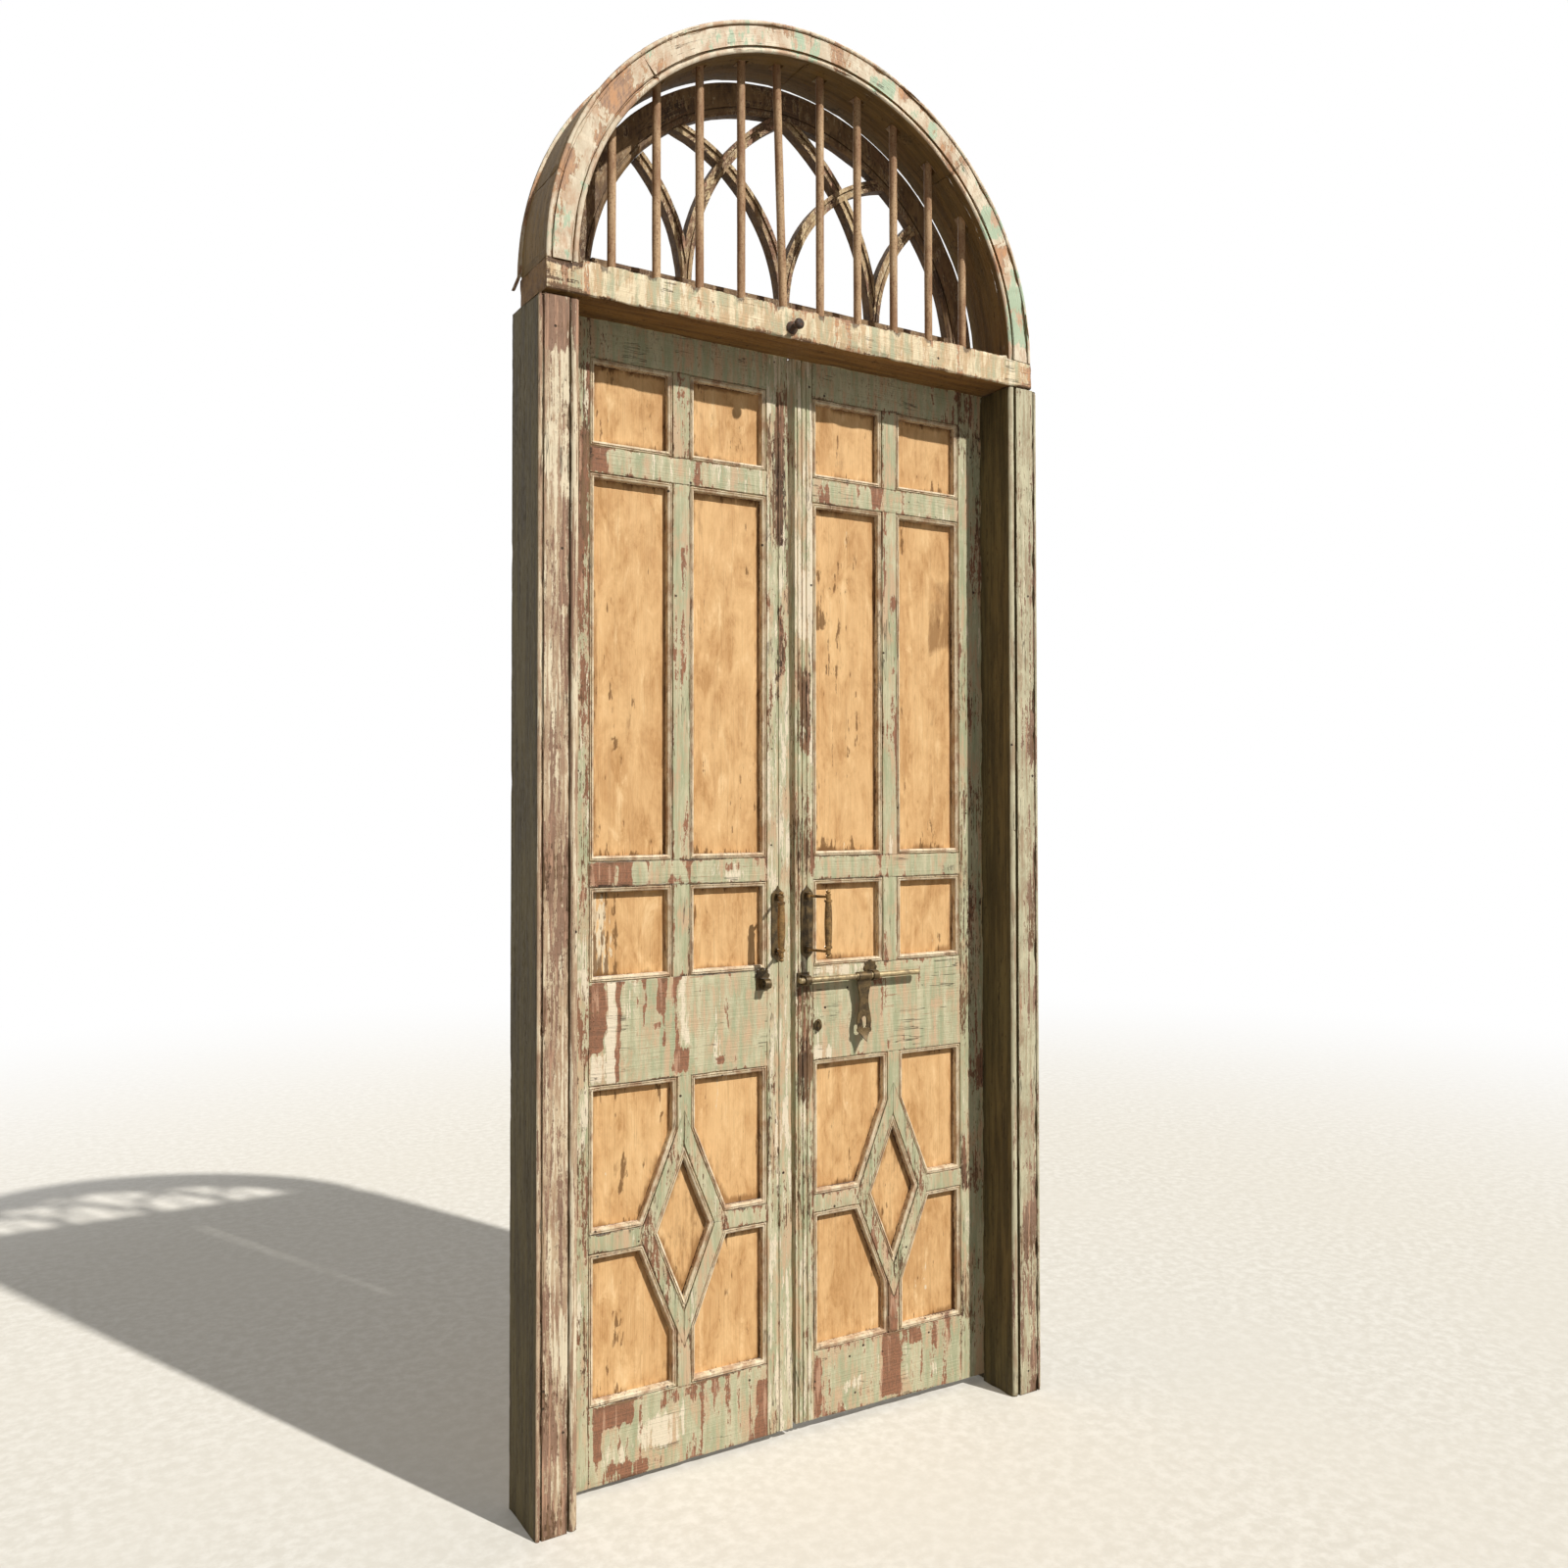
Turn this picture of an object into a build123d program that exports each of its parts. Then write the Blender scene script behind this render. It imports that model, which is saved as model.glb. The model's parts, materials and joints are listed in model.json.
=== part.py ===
from build123d import *
import os
from math import acos, cos, degrees, hypot, radians, sin, sqrt

# Arched double-leaf door in its frame. Millimetres, +Z up, +Y to the back.
# The origin is on the floor, at mid width, in the plane of the frame's front face.

# Frame timbers
FRAME_DEPTH = 140.0
TRANSOM_HALF = 590.0
TRANSOM_BOTTOM = 2290.0
TRANSOM_HEIGHT = 66.0
JAMB_OUTER = 605.0
JAMB_WIDTH = 82.0
JAMB_GAP_LEFT = 10.0
JAMB_GAP_RIGHT = 3.0
JAMB_TENON_WIDTH = 34.0
JAMB_TENON_THICK = 36.0
JAMB_TENON_DEPTH = 34.0
INNER_BEAD = 9.0
OUTER_BEAD = 4.5
QUIRK = 3.0
REBATE_WIDTH = 9.0
REBATE_HEAD = 10.0
FACE_CLEARANCE = 0.5
JOINT_CLEARANCE = 0.15
ARRIS = 3.0

# Arch ring
ARCH_RING = 66.0
ARCH_DEPTH = 132.0
ARCH_SEAT = 7.0
ARCH_FRONT_BEAD = 6.0
ARCH_BACK_BEAD = 5.0
SOFFIT_BAND = 18.0
SOFFIT_STEP = 5.0
ARCH_JOINT_ANGLES = [46.5, 91.0, 133.0, 164.0]
BAND_WIDTH = 13.0
BAND_PROUD = 6.0
BAND_FOOT = 30.0
BAND_FLARE = 12.0

# Fanlight bars
BAR_COUNT = 10
BAR_DIAMETER = 20.0
BAR_PITCH = 96.5
BAR_DEPTH = 58.0
BAR_SOCKET = 24.0
BAR_SOCKET_RISE = 8.0
BAR_END_GAP = 3.0
BAR_HOLE_DEPTH = 14.0
LEANING_BAR = 4
LEANING_BAR_TOP = -60.0
LEANING_BAR_FOOT = -43.0

# Fanlight sash and its tracery
SASH_SHIFT = -9.0
SASH_FRONT = 110.0
SASH_THICK = 26.0
SASH_MARGIN = 11.0
SASH_RING = 65.0
SASH_RAIL = 58.0
SASH_JOINT_ANGLES = [60.0, 120.0]
SASH_BEAD = 6.0
ARC_WIDTH = 24.0
ARC_SPRING = 40.0
ARC_GROOVE = 7.0
ARC_GROOVE_DEPTH = 4.0
FOOT_SPACING = 236.0
LONG_ARC_ANGLE = 91.4
MIDDLE_ARC_ANGLE = 55.7
SIDE_ARC_ANGLE = 139.7

# Leaves
LEAF_FRONT = 105.0
LEAF_THICK = 34.0
LEAF_SIDE_GAP = 2.0
LEAF_HEAD_GAP = 3.0
HINGE_STILE = 71.0
TENON_LENGTH = 28.0
TENON_THICK = 11.0
TENON_SHOULDER = 9.0
BOTTOM_RAIL_TOP = 164.0
BOTTOM_TENON_FOOT = 55.0
CROSS_RAIL = 36.0
DIAMOND_CENTRE = 478.5
DIAMOND_HALF_WIDTH = 98.0
DIAMOND_HALF_HEIGHT = 236.0
DIAMOND_MEMBER = 26.0
LOCK_RAIL_BOTTOM = 785.5
LOCK_RAIL_TOP = 986.0
MIDDLE_RAIL_BOTTOM = 1173.0
MIDDLE_RAIL_TOP = 1222.0
FRIEZE_BOTTOM = 1988.0
FRIEZE_TOP = 2040.0
TOP_RAIL_BOTTOM = 2215.0
UPPER_MUNTIN = 38.0
LOWER_MUNTIN = 30.0

# Panels with their planted beads
QUIRK_DEPTH = 5.0
QUIRK_WIDTH = 2.5
BEAD_SETBACK = 1.5
BEAD_WIDTH = 11.0
BEAD_ROUND = 4.0
PANEL_DEPTH = 17.0
PANEL_BACK = 28.0

# The two leaves differ where the old timber has been trimmed and has sagged
LEFT_LEAF = {
    "name": "left",
    "side": -1,
    "meeting_arris": -56.0,
    "meeting_top": -5.0,
    "meeting_foot": 5.0,
    "hinge_toe": 11.0,
    "meeting_toe": 17.0,
    "upper_muntin": -258.0,
    "lower_muntin": -251.0,
    "grooves": [(-30.5, 7.0)],
}
RIGHT_LEAF = {
    "name": "right",
    "side": 1,
    "meeting_arris": 58.5,
    "meeting_top": 13.0,
    "meeting_foot": 13.0,
    "hinge_toe": 15.0,
    "meeting_toe": 23.0,
    "upper_muntin": 262.0,
    "lower_muntin": 269.0,
    "grooves": [(20.0, 2.5), (31.0, 2.5), (42.0, 3.0)],
}
GROOVE_DEPTH = 3.0

# Butt hinges on the back
HINGE_HEIGHTS = [330.0, 1205.0, 2070.0]
HINGE_LENGTH = 80.0
KNUCKLE_RADIUS = 5.0
KNUCKLE_SETBACK = 5.5
FLAP_THICK = 2.5
FLAP_WIDTH = 30.0
PIN_RADIUS = 3.0
PIN_CLEARANCE = 0.05
KNUCKLE_GAP = 0.3
PIN_HEAD = 4.2

# Pulls
PULL_PLATE_HEIGHT = 162.0
PULL_PLATE_WIDTH = 29.0
PULL_PLATE_THICK = 3.0
PULL_PLATE_OGEE = 21.8
OGEE_NIP_HALF = 6.1
OGEE_NIP_RISE = 13.5
PULL_ABOVE_BRACKET = 25.0
PULL_SPACING = 115.0
PULL_REACH = 50.0
PULL_EAR_RADIUS = 6.0
PULL_EAR_REACH = 9.0
PULL_EAR_THICK = 4.0
PULL_EAR_GAP = 0.3
PULL_PIVOT_RADIUS = 3.0
PULL_PIVOT_PROUD = 1.2
PULL_HUB_RADIUS = 5.2
PULL_ARM_RADIUS = 2.9
PULL_ARM_HEIGHT = 6.0
GRIP_RADIUS = 8.2
GRIP_WAIST = 6.4
GRIP_NECK = 5.0
GRIP_BEAD = 7.0
GRIP_EASE = 1.5
NECK_BELOW = 5.0
NECK_ABOVE = 3.5
FINIAL_RING = 2.5
FINIAL_LENGTH = 16.0
LEFT_PULL_X = -32.0
RIGHT_PULL_X = 41.0
LEFT_PULL_SPLAY = -28.0
RIGHT_PULL_SPLAY = 21.0

# Sliding bolt
ROD_RADIUS = 6.0
ROD_LENGTH = 315.0
ROD_CHAMFER = 2.0
ROD_HEIGHT = 960.0
ROD_STANDOFF = 19.0
ROD_DRAWN_END = 12.0
ROD_THROW = 108.0
ROD_CLEARANCE = 0.05
KEEPER_CLEARANCE = 1.0
KEEPER_X = -69.0
BRACKET_XS = [31.0, 206.0]
BRACKET_WIDTH = 14.0
BRACKET_EYE = 10.5
BRACKET_PLATE_THICK = 3.0
BRACKET_PLATE_WIDTH = 30.0
BRACKET_FOOT_DROP = 15.0
FAN_RADIUS = 17.0
FAN_HUB = 13.0
FAN_LOBE = 5.0
FAN_LOBES = 5
HASP_OFFSET = 165.0
HASP_WIDTH = 34.0
HASP_HUB = 9.5
HASP_HUB_CLEARANCE = 0.3
HASP_NECK = 22.0
HASP_LOBE = 37.0
HASP_LENGTH = 142.0
HASP_THICK = 3.0
HASP_SLOT_WIDTH = 13.0
HASP_SLOT_LENGTH = 26.0
HASP_SLOT_DROP = 100.0
HASP_TOP_EASE = 1.0
HASP_SHOULDER = 12.0
HASP_WAIST_DROP = 42.0
HASP_RIM = 5.0
HASP_NICK = 2.0
HASP_LOBE_ROUND = 6.0
COLLAR_LENGTH = 3.0
COLLAR_RADIUS = 8.0
STAPLE_WIRE = 2.5
STAPLE_SPREAD = 14.0
STAPLE_REACH = 13.0
STAPLE_PLATE = 26.0
STAPLE_PLATE_WIDTH = 18.7
STAPLE_TANG = 1.0

# Iron spike in the transom
SPIKE_X = -58.0
SPIKE_RISE = 23.0
SPIKE_REACH = 35.0
SPIKE_STEM = 5.0
SPIKE_NECK = 6.0
SPIKE_KNOB = 13.0
SPIKE_CROWN = 11.0
SPIKE_RIM = 3.0
SPIKE_TAPER = 5.0
SPIKE_HOLE_DEPTH = 40.0

# Values that follow
ARCH_CENTRE = TRANSOM_BOTTOM + TRANSOM_HEIGHT
ARCH_INNER = TRANSOM_HALF - ARCH_RING
SPIKE_AXIS = TRANSOM_BOTTOM + SPIKE_RISE
JAMB_REVEAL = JAMB_OUTER - JAMB_WIDTH
REBATE_SIDE = JAMB_REVEAL + REBATE_WIDTH
REBATE_FACE = LEAF_FRONT - FACE_CLEARANCE
LEAF_HINGE_EDGE = REBATE_SIDE - LEAF_SIDE_GAP
HINGE_ARRIS = LEAF_HINGE_EDGE - HINGE_STILE
LEAF_TOP = TRANSOM_BOTTOM + REBATE_HEAD - LEAF_HEAD_GAP
LEAF_BACK = LEAF_FRONT + LEAF_THICK
PIN_X = REBATE_SIDE - LEAF_SIDE_GAP / 2
PIN_Y = FRAME_DEPTH + KNUCKLE_SETBACK
SASH_OUTER = ARCH_INNER - SASH_MARGIN
SASH_INNER = SASH_OUTER - SASH_RING
SASH_BACK = SASH_FRONT + SASH_THICK
ROD_Y = LEAF_FRONT - ROD_STANDOFF
PULL_PIVOT_Y = LEAF_FRONT - PULL_PLATE_THICK - PULL_EAR_REACH
PULL_PLATE_FOOT = ROD_HEIGHT + BRACKET_FOOT_DROP + PULL_ABOVE_BRACKET
PULL_CENTRE_HEIGHT = PULL_PLATE_FOOT + PULL_PLATE_HEIGHT / 2
HASP_X = ROD_DRAWN_END + HASP_OFFSET
STAPLE_X = HASP_X - ROD_THROW

os.makedirs("parts", exist_ok=True)


def save(builder, name):
    """Label a finished piece and write it under its own name."""
    builder.part.label = name
    export_step(builder.part, f"parts/{name}.step")


def save_group(solids, name):
    """Write touching like pieces as separate solids of one group."""
    group = Compound(children=solids)
    group.label = name
    export_step(group, f"parts/{name}.step")


def elevation(depth):
    """Front view plane at a depth: sketch x is X, sketch y is Z, a negative extrusion goes back."""
    return Plane(origin=(0, depth, 0), x_dir=(1, 0, 0), z_dir=(0, -1, 0))


def plan(height):
    """Plan view plane at a height: sketch x is X, sketch y is Y."""
    return Plane.XY.offset(height)


def slab(points, front, back, mode=Mode.ADD, inset=0.0):
    """Extrude an outline of (x, z) points from one depth to another, drawn in by an inset."""
    with BuildSketch(elevation(front)) as outline:
        with BuildLine():
            Polyline(*points, close=True)
        make_face()
        if inset:
            offset(amount=-inset, kind=Kind.INTERSECTION)
    extrude(outline.sketch, amount=front - back, mode=mode)


def block(x0, x1, y0, y1, z0, z1, mode=Mode.ADD):
    """A box between two corners."""
    slab([(x0, z0), (x1, z0), (x1, z1), (x0, z1)], y0, y1, mode)


def pipe(x, y, z0, z1, radius, mode=Mode.ADD):
    """An upright cylinder."""
    with BuildSketch(plan(z0)) as section:
        with Locations((x, y)):
            Circle(radius)
    extrude(section.sketch, amount=z1 - z0, mode=mode)


def cross_bar(x0, x1, y, z, radius, mode=Mode.ADD):
    """A cylinder along X."""
    with BuildSketch(Plane(origin=(x0, 0, 0), x_dir=(0, 1, 0), z_dir=(1, 0, 0))) as section:
        with Locations((y, z)):
            Circle(radius)
    extrude(section.sketch, amount=x1 - x0, mode=mode)


# Frame

def jamb(name, side, gap):
    """A rebated post with a quirked bead on each front arris and a stub tenon on top."""
    shoulder = TRANSOM_BOTTOM - gap
    inner = side * JAMB_REVEAL
    outer = side * JAMB_OUTER
    rebate = side * REBATE_SIDE
    inner_bead = 2 * INNER_BEAD * side
    outer_bead = 2 * OUTER_BEAD * side
    quirk = QUIRK * side
    with BuildPart() as post:
        with BuildSketch(plan(0)) as section:
            with BuildLine():
                Polyline(
                    (outer, OUTER_BEAD),
                    (outer, FRAME_DEPTH),
                    (rebate, FRAME_DEPTH),
                    (rebate, REBATE_FACE),
                    (inner, REBATE_FACE),
                    (inner, INNER_BEAD),
                )
                ThreePointArc(
                    (inner, INNER_BEAD), (inner + inner_bead / 2, 0), (inner + inner_bead, INNER_BEAD)
                )
                Polyline(
                    (inner + inner_bead, INNER_BEAD),
                    (inner + inner_bead + quirk, INNER_BEAD),
                    (inner + inner_bead + quirk, 0),
                    (outer - outer_bead - quirk, 0),
                    (outer - outer_bead - quirk, OUTER_BEAD),
                    (outer - outer_bead, OUTER_BEAD),
                )
                ThreePointArc(
                    (outer - outer_bead, OUTER_BEAD), (outer - outer_bead / 2, 0), (outer, OUTER_BEAD)
                )
            make_face()
        extrude(section.sketch, amount=shoulder)
        tenon_at(side, shoulder, TRANSOM_BOTTOM + JAMB_TENON_DEPTH, 0.0, Mode.ADD)
    save(post, name)


def tenon_at(side, z0, z1, clearance, mode):
    """The jamb's stub tenon, or the mortise that takes it."""
    centre = side * (JAMB_OUTER + JAMB_REVEAL) / 2
    half_width = JAMB_TENON_WIDTH / 2 + clearance
    middle = FRAME_DEPTH / 2
    half_thick = JAMB_TENON_THICK / 2 + clearance
    block(centre - half_width, centre + half_width, middle - half_thick, middle + half_thick, z0, z1, mode)


def bar_places():
    """Foot and head positions of each bar along X."""
    places = []
    for i in range(BAR_COUNT):
        x = (i - (BAR_COUNT - 1) / 2) * BAR_PITCH
        if i == LEANING_BAR:
            places.append((LEANING_BAR_FOOT, LEANING_BAR_TOP))
        else:
            places.append((x, x))
    return places


def soffit_top(x):
    """Height at which a bar's socket ends above the soffit."""
    near = max(abs(x) - BAR_SOCKET / 2, 0)
    return ARCH_CENTRE + sqrt((ARCH_INNER + SOFFIT_STEP) ** 2 - near**2) + BAR_SOCKET_RISE


def bar(foot, head, mode=Mode.ADD, grow=0.0):
    """One round bar from its hole in the transom to its socket in the arch."""
    z0 = ARCH_CENTRE - BAR_HOLE_DEPTH
    z1 = soffit_top(head) - BAR_END_GAP
    run = Vector(head - foot, 0, z1 - z0)
    base = Plane(origin=(foot, BAR_DEPTH, z0), x_dir=(0, 1, 0), z_dir=run)
    with BuildSketch(base) as section:
        Circle(BAR_DIAMETER / 2 + grow)
    extrude(section.sketch, amount=run.length, mode=mode)


def transom():
    """Head timber: notched for the arch feet, mortised for the jambs, drilled for the bars."""
    top = ARCH_CENTRE
    seat = ARCH_CENTRE - ARCH_SEAT
    step = ARCH_INNER - JOINT_CLEARANCE
    half = TRANSOM_HALF
    with BuildPart() as head:
        with BuildSketch(elevation(0)) as outline:
            with BuildLine():
                Polyline(
                    (-half, seat), (-half, TRANSOM_BOTTOM), (half, TRANSOM_BOTTOM), (half, seat), (step, seat)
                )
                RadiusArc((step, seat), (step - ARCH_SEAT, top), ARCH_SEAT)
                Line((step - ARCH_SEAT, top), (ARCH_SEAT - step, top))
                RadiusArc((ARCH_SEAT - step, top), (-step, seat), ARCH_SEAT)
                Line((-step, seat), (-half, seat))
            make_face()
        extrude(outline.sketch, amount=-FRAME_DEPTH)
        front = head.edges().filter_by(Axis.X).group_by(Axis.Y)[0]
        chamfer(front.sort_by(Axis.Z)[0], ARRIS)
        block(
            -REBATE_SIDE, REBATE_SIDE, REBATE_FACE, FRAME_DEPTH,
            TRANSOM_BOTTOM, TRANSOM_BOTTOM + REBATE_HEAD, Mode.SUBTRACT,
        )
        for side in (-1, 1):
            roof = TRANSOM_BOTTOM + JAMB_TENON_DEPTH
            tenon_at(side, TRANSOM_BOTTOM, roof, JOINT_CLEARANCE, Mode.SUBTRACT)
        for foot, head_x in bar_places():
            bar(foot, head_x, Mode.SUBTRACT, JOINT_CLEARANCE)
        with BuildSketch(elevation(0)) as hole:
            with Locations((SPIKE_X, SPIKE_AXIS)):
                Circle(SPIKE_STEM + JOINT_CLEARANCE)
        extrude(hole.sketch, amount=-SPIKE_HOLE_DEPTH, mode=Mode.SUBTRACT)
    save(head, "transom")


def ring_plane(angle):
    """Radial section plane of the arch: sketch x is the radius, sketch y is the depth."""
    c = cos(radians(angle))
    s = sin(radians(angle))
    return Plane(origin=(0, 0, ARCH_CENTRE), x_dir=(c, 0, s), z_dir=(-s, 0, c))


def arch_profile(angle):
    """Section of the arch ring with a quirked bead on both front arrises and a stepped soffit."""
    inner = ARCH_INNER
    outer = TRANSOM_HALF
    bead_in = ARCH_FRONT_BEAD
    bead_out = ARCH_BACK_BEAD
    with BuildSketch(ring_plane(angle)) as section:
        with BuildLine():
            Polyline(
                (outer, bead_out),
                (outer, ARCH_DEPTH),
                (inner + SOFFIT_STEP, ARCH_DEPTH),
                (inner + SOFFIT_STEP, SOFFIT_BAND + SOFFIT_STEP),
                (inner, SOFFIT_BAND),
                (inner, bead_in),
            )
            ThreePointArc((inner, bead_in), (inner + bead_in, 0), (inner + 2 * bead_in, bead_in))
            Polyline(
                (inner + 2 * bead_in, bead_in),
                (inner + 2 * bead_in + QUIRK, bead_in),
                (inner + 2 * bead_in + QUIRK, 0),
                (outer - 2 * bead_out - QUIRK, 0),
                (outer - 2 * bead_out - QUIRK, bead_out),
                (outer - 2 * bead_out, bead_out),
            )
            ThreePointArc((outer - 2 * bead_out, bead_out), (outer - bead_out, 0), (outer, bead_out))
        make_face()
    return section.sketch


def arch_segments():
    """The felloes of the arch, butted on radial joints, their feet let into the transom."""
    axis = Axis((0, 0, ARCH_CENTRE), (0, -1, 0))
    joints = [0.0] + ARCH_JOINT_ANGLES + [180.0]
    for i, (start, end) in enumerate(zip(joints, joints[1:])):
        with BuildPart() as felloe:
            revolve(arch_profile(start), axis=axis, revolution_arc=end - start)
            if start == 0.0:
                extrude(arch_profile(0.0), amount=-ARCH_SEAT)
            if end == 180.0:
                extrude(arch_profile(180.0), amount=ARCH_SEAT)
            for _, x in bar_places():
                lower = ARCH_CENTRE + sqrt(ARCH_INNER**2 - (abs(x) + BAR_SOCKET) ** 2) - BAR_SOCKET
                angle = degrees(acos(x / ARCH_INNER))
                if start < angle < end:
                    half = BAR_SOCKET / 2
                    block(
                        x - half, x + half, BAR_DEPTH - half, BAR_DEPTH + half,
                        lower, soffit_top(x), Mode.SUBTRACT,
                    )
        save(felloe, f"arch_segment_{i + 1}")


def arch_back_band():
    """Thin lath bent round behind the arch, its left foot sprung outwards."""
    outer = TRANSOM_HALF + BAND_PROUD
    inner = outer - BAND_WIDTH
    foot = ARCH_CENTRE - BAND_FOOT
    clear = TRANSOM_HALF + JOINT_CLEARANCE
    with BuildPart() as band:
        with BuildSketch(elevation(ARCH_DEPTH)) as ring:
            with Locations((0, ARCH_CENTRE)):
                Circle(outer)
                Circle(inner, mode=Mode.SUBTRACT)
            with Locations((0, ARCH_CENTRE - outer)):
                Rectangle(4 * outer, 2 * outer, mode=Mode.SUBTRACT)
        extrude(ring.sketch, amount=ARCH_DEPTH - FRAME_DEPTH)
        for side, flare in ((-1, BAND_FLARE), (1, 0.0)):
            slab(
                [
                    (side * clear, ARCH_CENTRE),
                    (side * outer, ARCH_CENTRE),
                    (side * (outer + flare), foot),
                    (side * (clear + flare), foot),
                ],
                ARCH_DEPTH,
                FRAME_DEPTH,
            )
    save(band, "arch_back_band")


def fanlight_bars():
    """Ten upright iron bars."""
    with BuildPart() as bars:
        for foot, head in bar_places():
            bar(foot, head)
    save(bars, "fanlight_bars")


def transom_spike():
    """Iron spike with a worn knob, driven into the transom's front."""
    neck = SPIKE_X + SPIKE_NECK
    knob = SPIKE_REACH - SPIKE_KNOB
    with BuildPart() as spike:
        with BuildSketch(Plane.XY.offset(SPIKE_AXIS)) as half:
            with BuildLine():
                Polyline(
                    (SPIKE_X, SPIKE_HOLE_DEPTH),
                    (SPIKE_X + SPIKE_STEM, SPIKE_HOLE_DEPTH),
                    (SPIKE_X + SPIKE_STEM, 0),
                    (SPIKE_X + SPIKE_KNOB, 0),
                    (SPIKE_X + SPIKE_KNOB, -SPIKE_RIM),
                    (neck, -SPIKE_RIM - SPIKE_TAPER),
                    (neck, -knob),
                )
                ThreePointArc(
                    (neck, -knob), (SPIKE_X + SPIKE_CROWN, -(knob + SPIKE_REACH) / 2), (neck, -SPIKE_REACH)
                )
                Polyline((neck, -SPIKE_REACH), (SPIKE_X, -SPIKE_REACH), (SPIKE_X, SPIKE_HOLE_DEPTH))
            make_face()
        revolve(half.sketch, axis=Axis((SPIKE_X, 0, SPIKE_AXIS), (0, 1, 0)))
    save(spike, "transom_spike")


# Fanlight sash

def sash_ring():
    """Three felloes of the sash ring with a sunk bead along the inner arris."""
    joints = [0.0] + SASH_JOINT_ANGLES + [180.0]
    names = ["sash_ring_right", "sash_ring_crown", "sash_ring_left"]
    axis = Axis((SASH_SHIFT, 0, ARCH_CENTRE), (0, -1, 0))
    groove = SASH_INNER + 2 * SASH_BEAD
    for name, start, end in zip(names, joints, joints[1:]):
        c = cos(radians(start))
        s = sin(radians(start))
        radial = Plane(origin=(SASH_SHIFT, 0, ARCH_CENTRE), x_dir=(c, 0, s), z_dir=(-s, 0, c))
        with BuildPart() as felloe:
            with BuildSketch(radial) as section:
                with BuildLine():
                    Polyline(
                        (SASH_INNER, SASH_FRONT + SASH_BEAD),
                        (SASH_INNER + SASH_BEAD, SASH_FRONT),
                        (groove, SASH_FRONT),
                        (groove, SASH_FRONT + ARC_GROOVE_DEPTH),
                        (groove + QUIRK, SASH_FRONT + ARC_GROOVE_DEPTH),
                        (groove + QUIRK, SASH_FRONT),
                        (SASH_OUTER, SASH_FRONT),
                        (SASH_OUTER, SASH_BACK),
                        (SASH_INNER, SASH_BACK),
                        close=True,
                    )
                make_face()
            revolve(section.sketch, axis=axis, revolution_arc=end - start)
        save(felloe, name)


def sash_rail():
    """Bottom rail of the sash, coped to the ring at both ends."""
    with BuildPart() as rail:
        with BuildSketch(elevation(SASH_FRONT)) as outline:
            with Locations((SASH_SHIFT, ARCH_CENTRE)):
                Circle(SASH_INNER)
            with Locations((SASH_SHIFT, ARCH_CENTRE + SASH_RAIL / 2)):
                Rectangle(2 * SASH_INNER, SASH_RAIL, mode=Mode.INTERSECT)
        extrude(outline.sketch, amount=-SASH_THICK)
    save(rail, "sash_bottom_rail")


def arc_band(foot, radius, side, width):
    """Front outline of one tracery arc: a curved strip from its foot to the ring."""
    big = 2 * SASH_OUTER
    spring = ARCH_CENTRE + ARC_SPRING
    top_of_rail = ARCH_CENTRE + SASH_RAIL
    with BuildSketch(elevation(SASH_FRONT)) as strip:
        with Locations((SASH_SHIFT + foot + side * radius, spring)):
            Circle(radius + width / 2)
            Circle(radius - width / 2, mode=Mode.SUBTRACT)
        with Locations((SASH_SHIFT, ARCH_CENTRE)):
            Circle(SASH_INNER, mode=Mode.INTERSECT)
        with Locations((SASH_SHIFT + foot + side * big / 2, top_of_rail + big / 2)):
            Rectangle(big, big, mode=Mode.INTERSECT)
    return strip.sketch


def tracery_arc(foot, radius, side, over=(), under=()):
    """One arc with a run groove, halved at the front under some arcs and at the back over others."""
    extrude(arc_band(foot, radius, side, ARC_WIDTH), amount=-SASH_THICK)
    extrude(arc_band(foot, radius, side, ARC_GROOVE), amount=-ARC_GROOVE_DEPTH, mode=Mode.SUBTRACT)
    for other in under:
        extrude(arc_band(*other, ARC_WIDTH), amount=-SASH_THICK / 2, mode=Mode.SUBTRACT)
    for other in over:
        rear = arc_band(*other, ARC_WIDTH).moved(Location((0, SASH_THICK / 2, 0)))
        extrude(rear, amount=-SASH_THICK / 2, mode=Mode.SUBTRACT)


def arc_radius(foot, angle, side):
    """Radius of the arc that springs upright from a foot and meets the ring at an angle."""
    across = side * (SASH_INNER * cos(radians(angle)) - foot)
    rise = SASH_INNER * sin(radians(angle)) - ARC_SPRING
    return (across**2 + rise**2) / (2 * across)


def tracery():
    """Six arcs in three pairs, interlaced where they cross."""
    long_radius = arc_radius(-FOOT_SPACING, LONG_ARC_ANGLE, 1)
    middle_radius = arc_radius(0.0, MIDDLE_ARC_ANGLE, 1)
    side_radius = arc_radius(-FOOT_SPACING, SIDE_ARC_ANGLE, -1)
    long_left = (-FOOT_SPACING, long_radius, 1)
    long_right = (FOOT_SPACING, long_radius, -1)
    middle_left = (0.0, middle_radius, -1)
    middle_right = (0.0, middle_radius, 1)
    side_left = (-FOOT_SPACING, side_radius, -1)
    side_right = (FOOT_SPACING, side_radius, 1)
    laps = {
        "tracery_long_arcs": [
            (long_left, [middle_left], [long_right]),
            (long_right, [long_left], [middle_right]),
        ],
        "tracery_middle_arcs": [(middle_left, [], [long_left]), (middle_right, [long_right], [])],
        "tracery_side_arcs": [(side_left, [], []), (side_right, [], [])],
    }
    for name, pair in laps.items():
        strips = []
        for arc, over, under in pair:
            with BuildPart() as strip:
                tracery_arc(*arc, over=over, under=under)
            strips.append(strip.part.solid())
        save_group(strips, name)


# Leaves

def ordered(a, b):
    """Two values in rising order."""
    return min(a, b), max(a, b)


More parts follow.
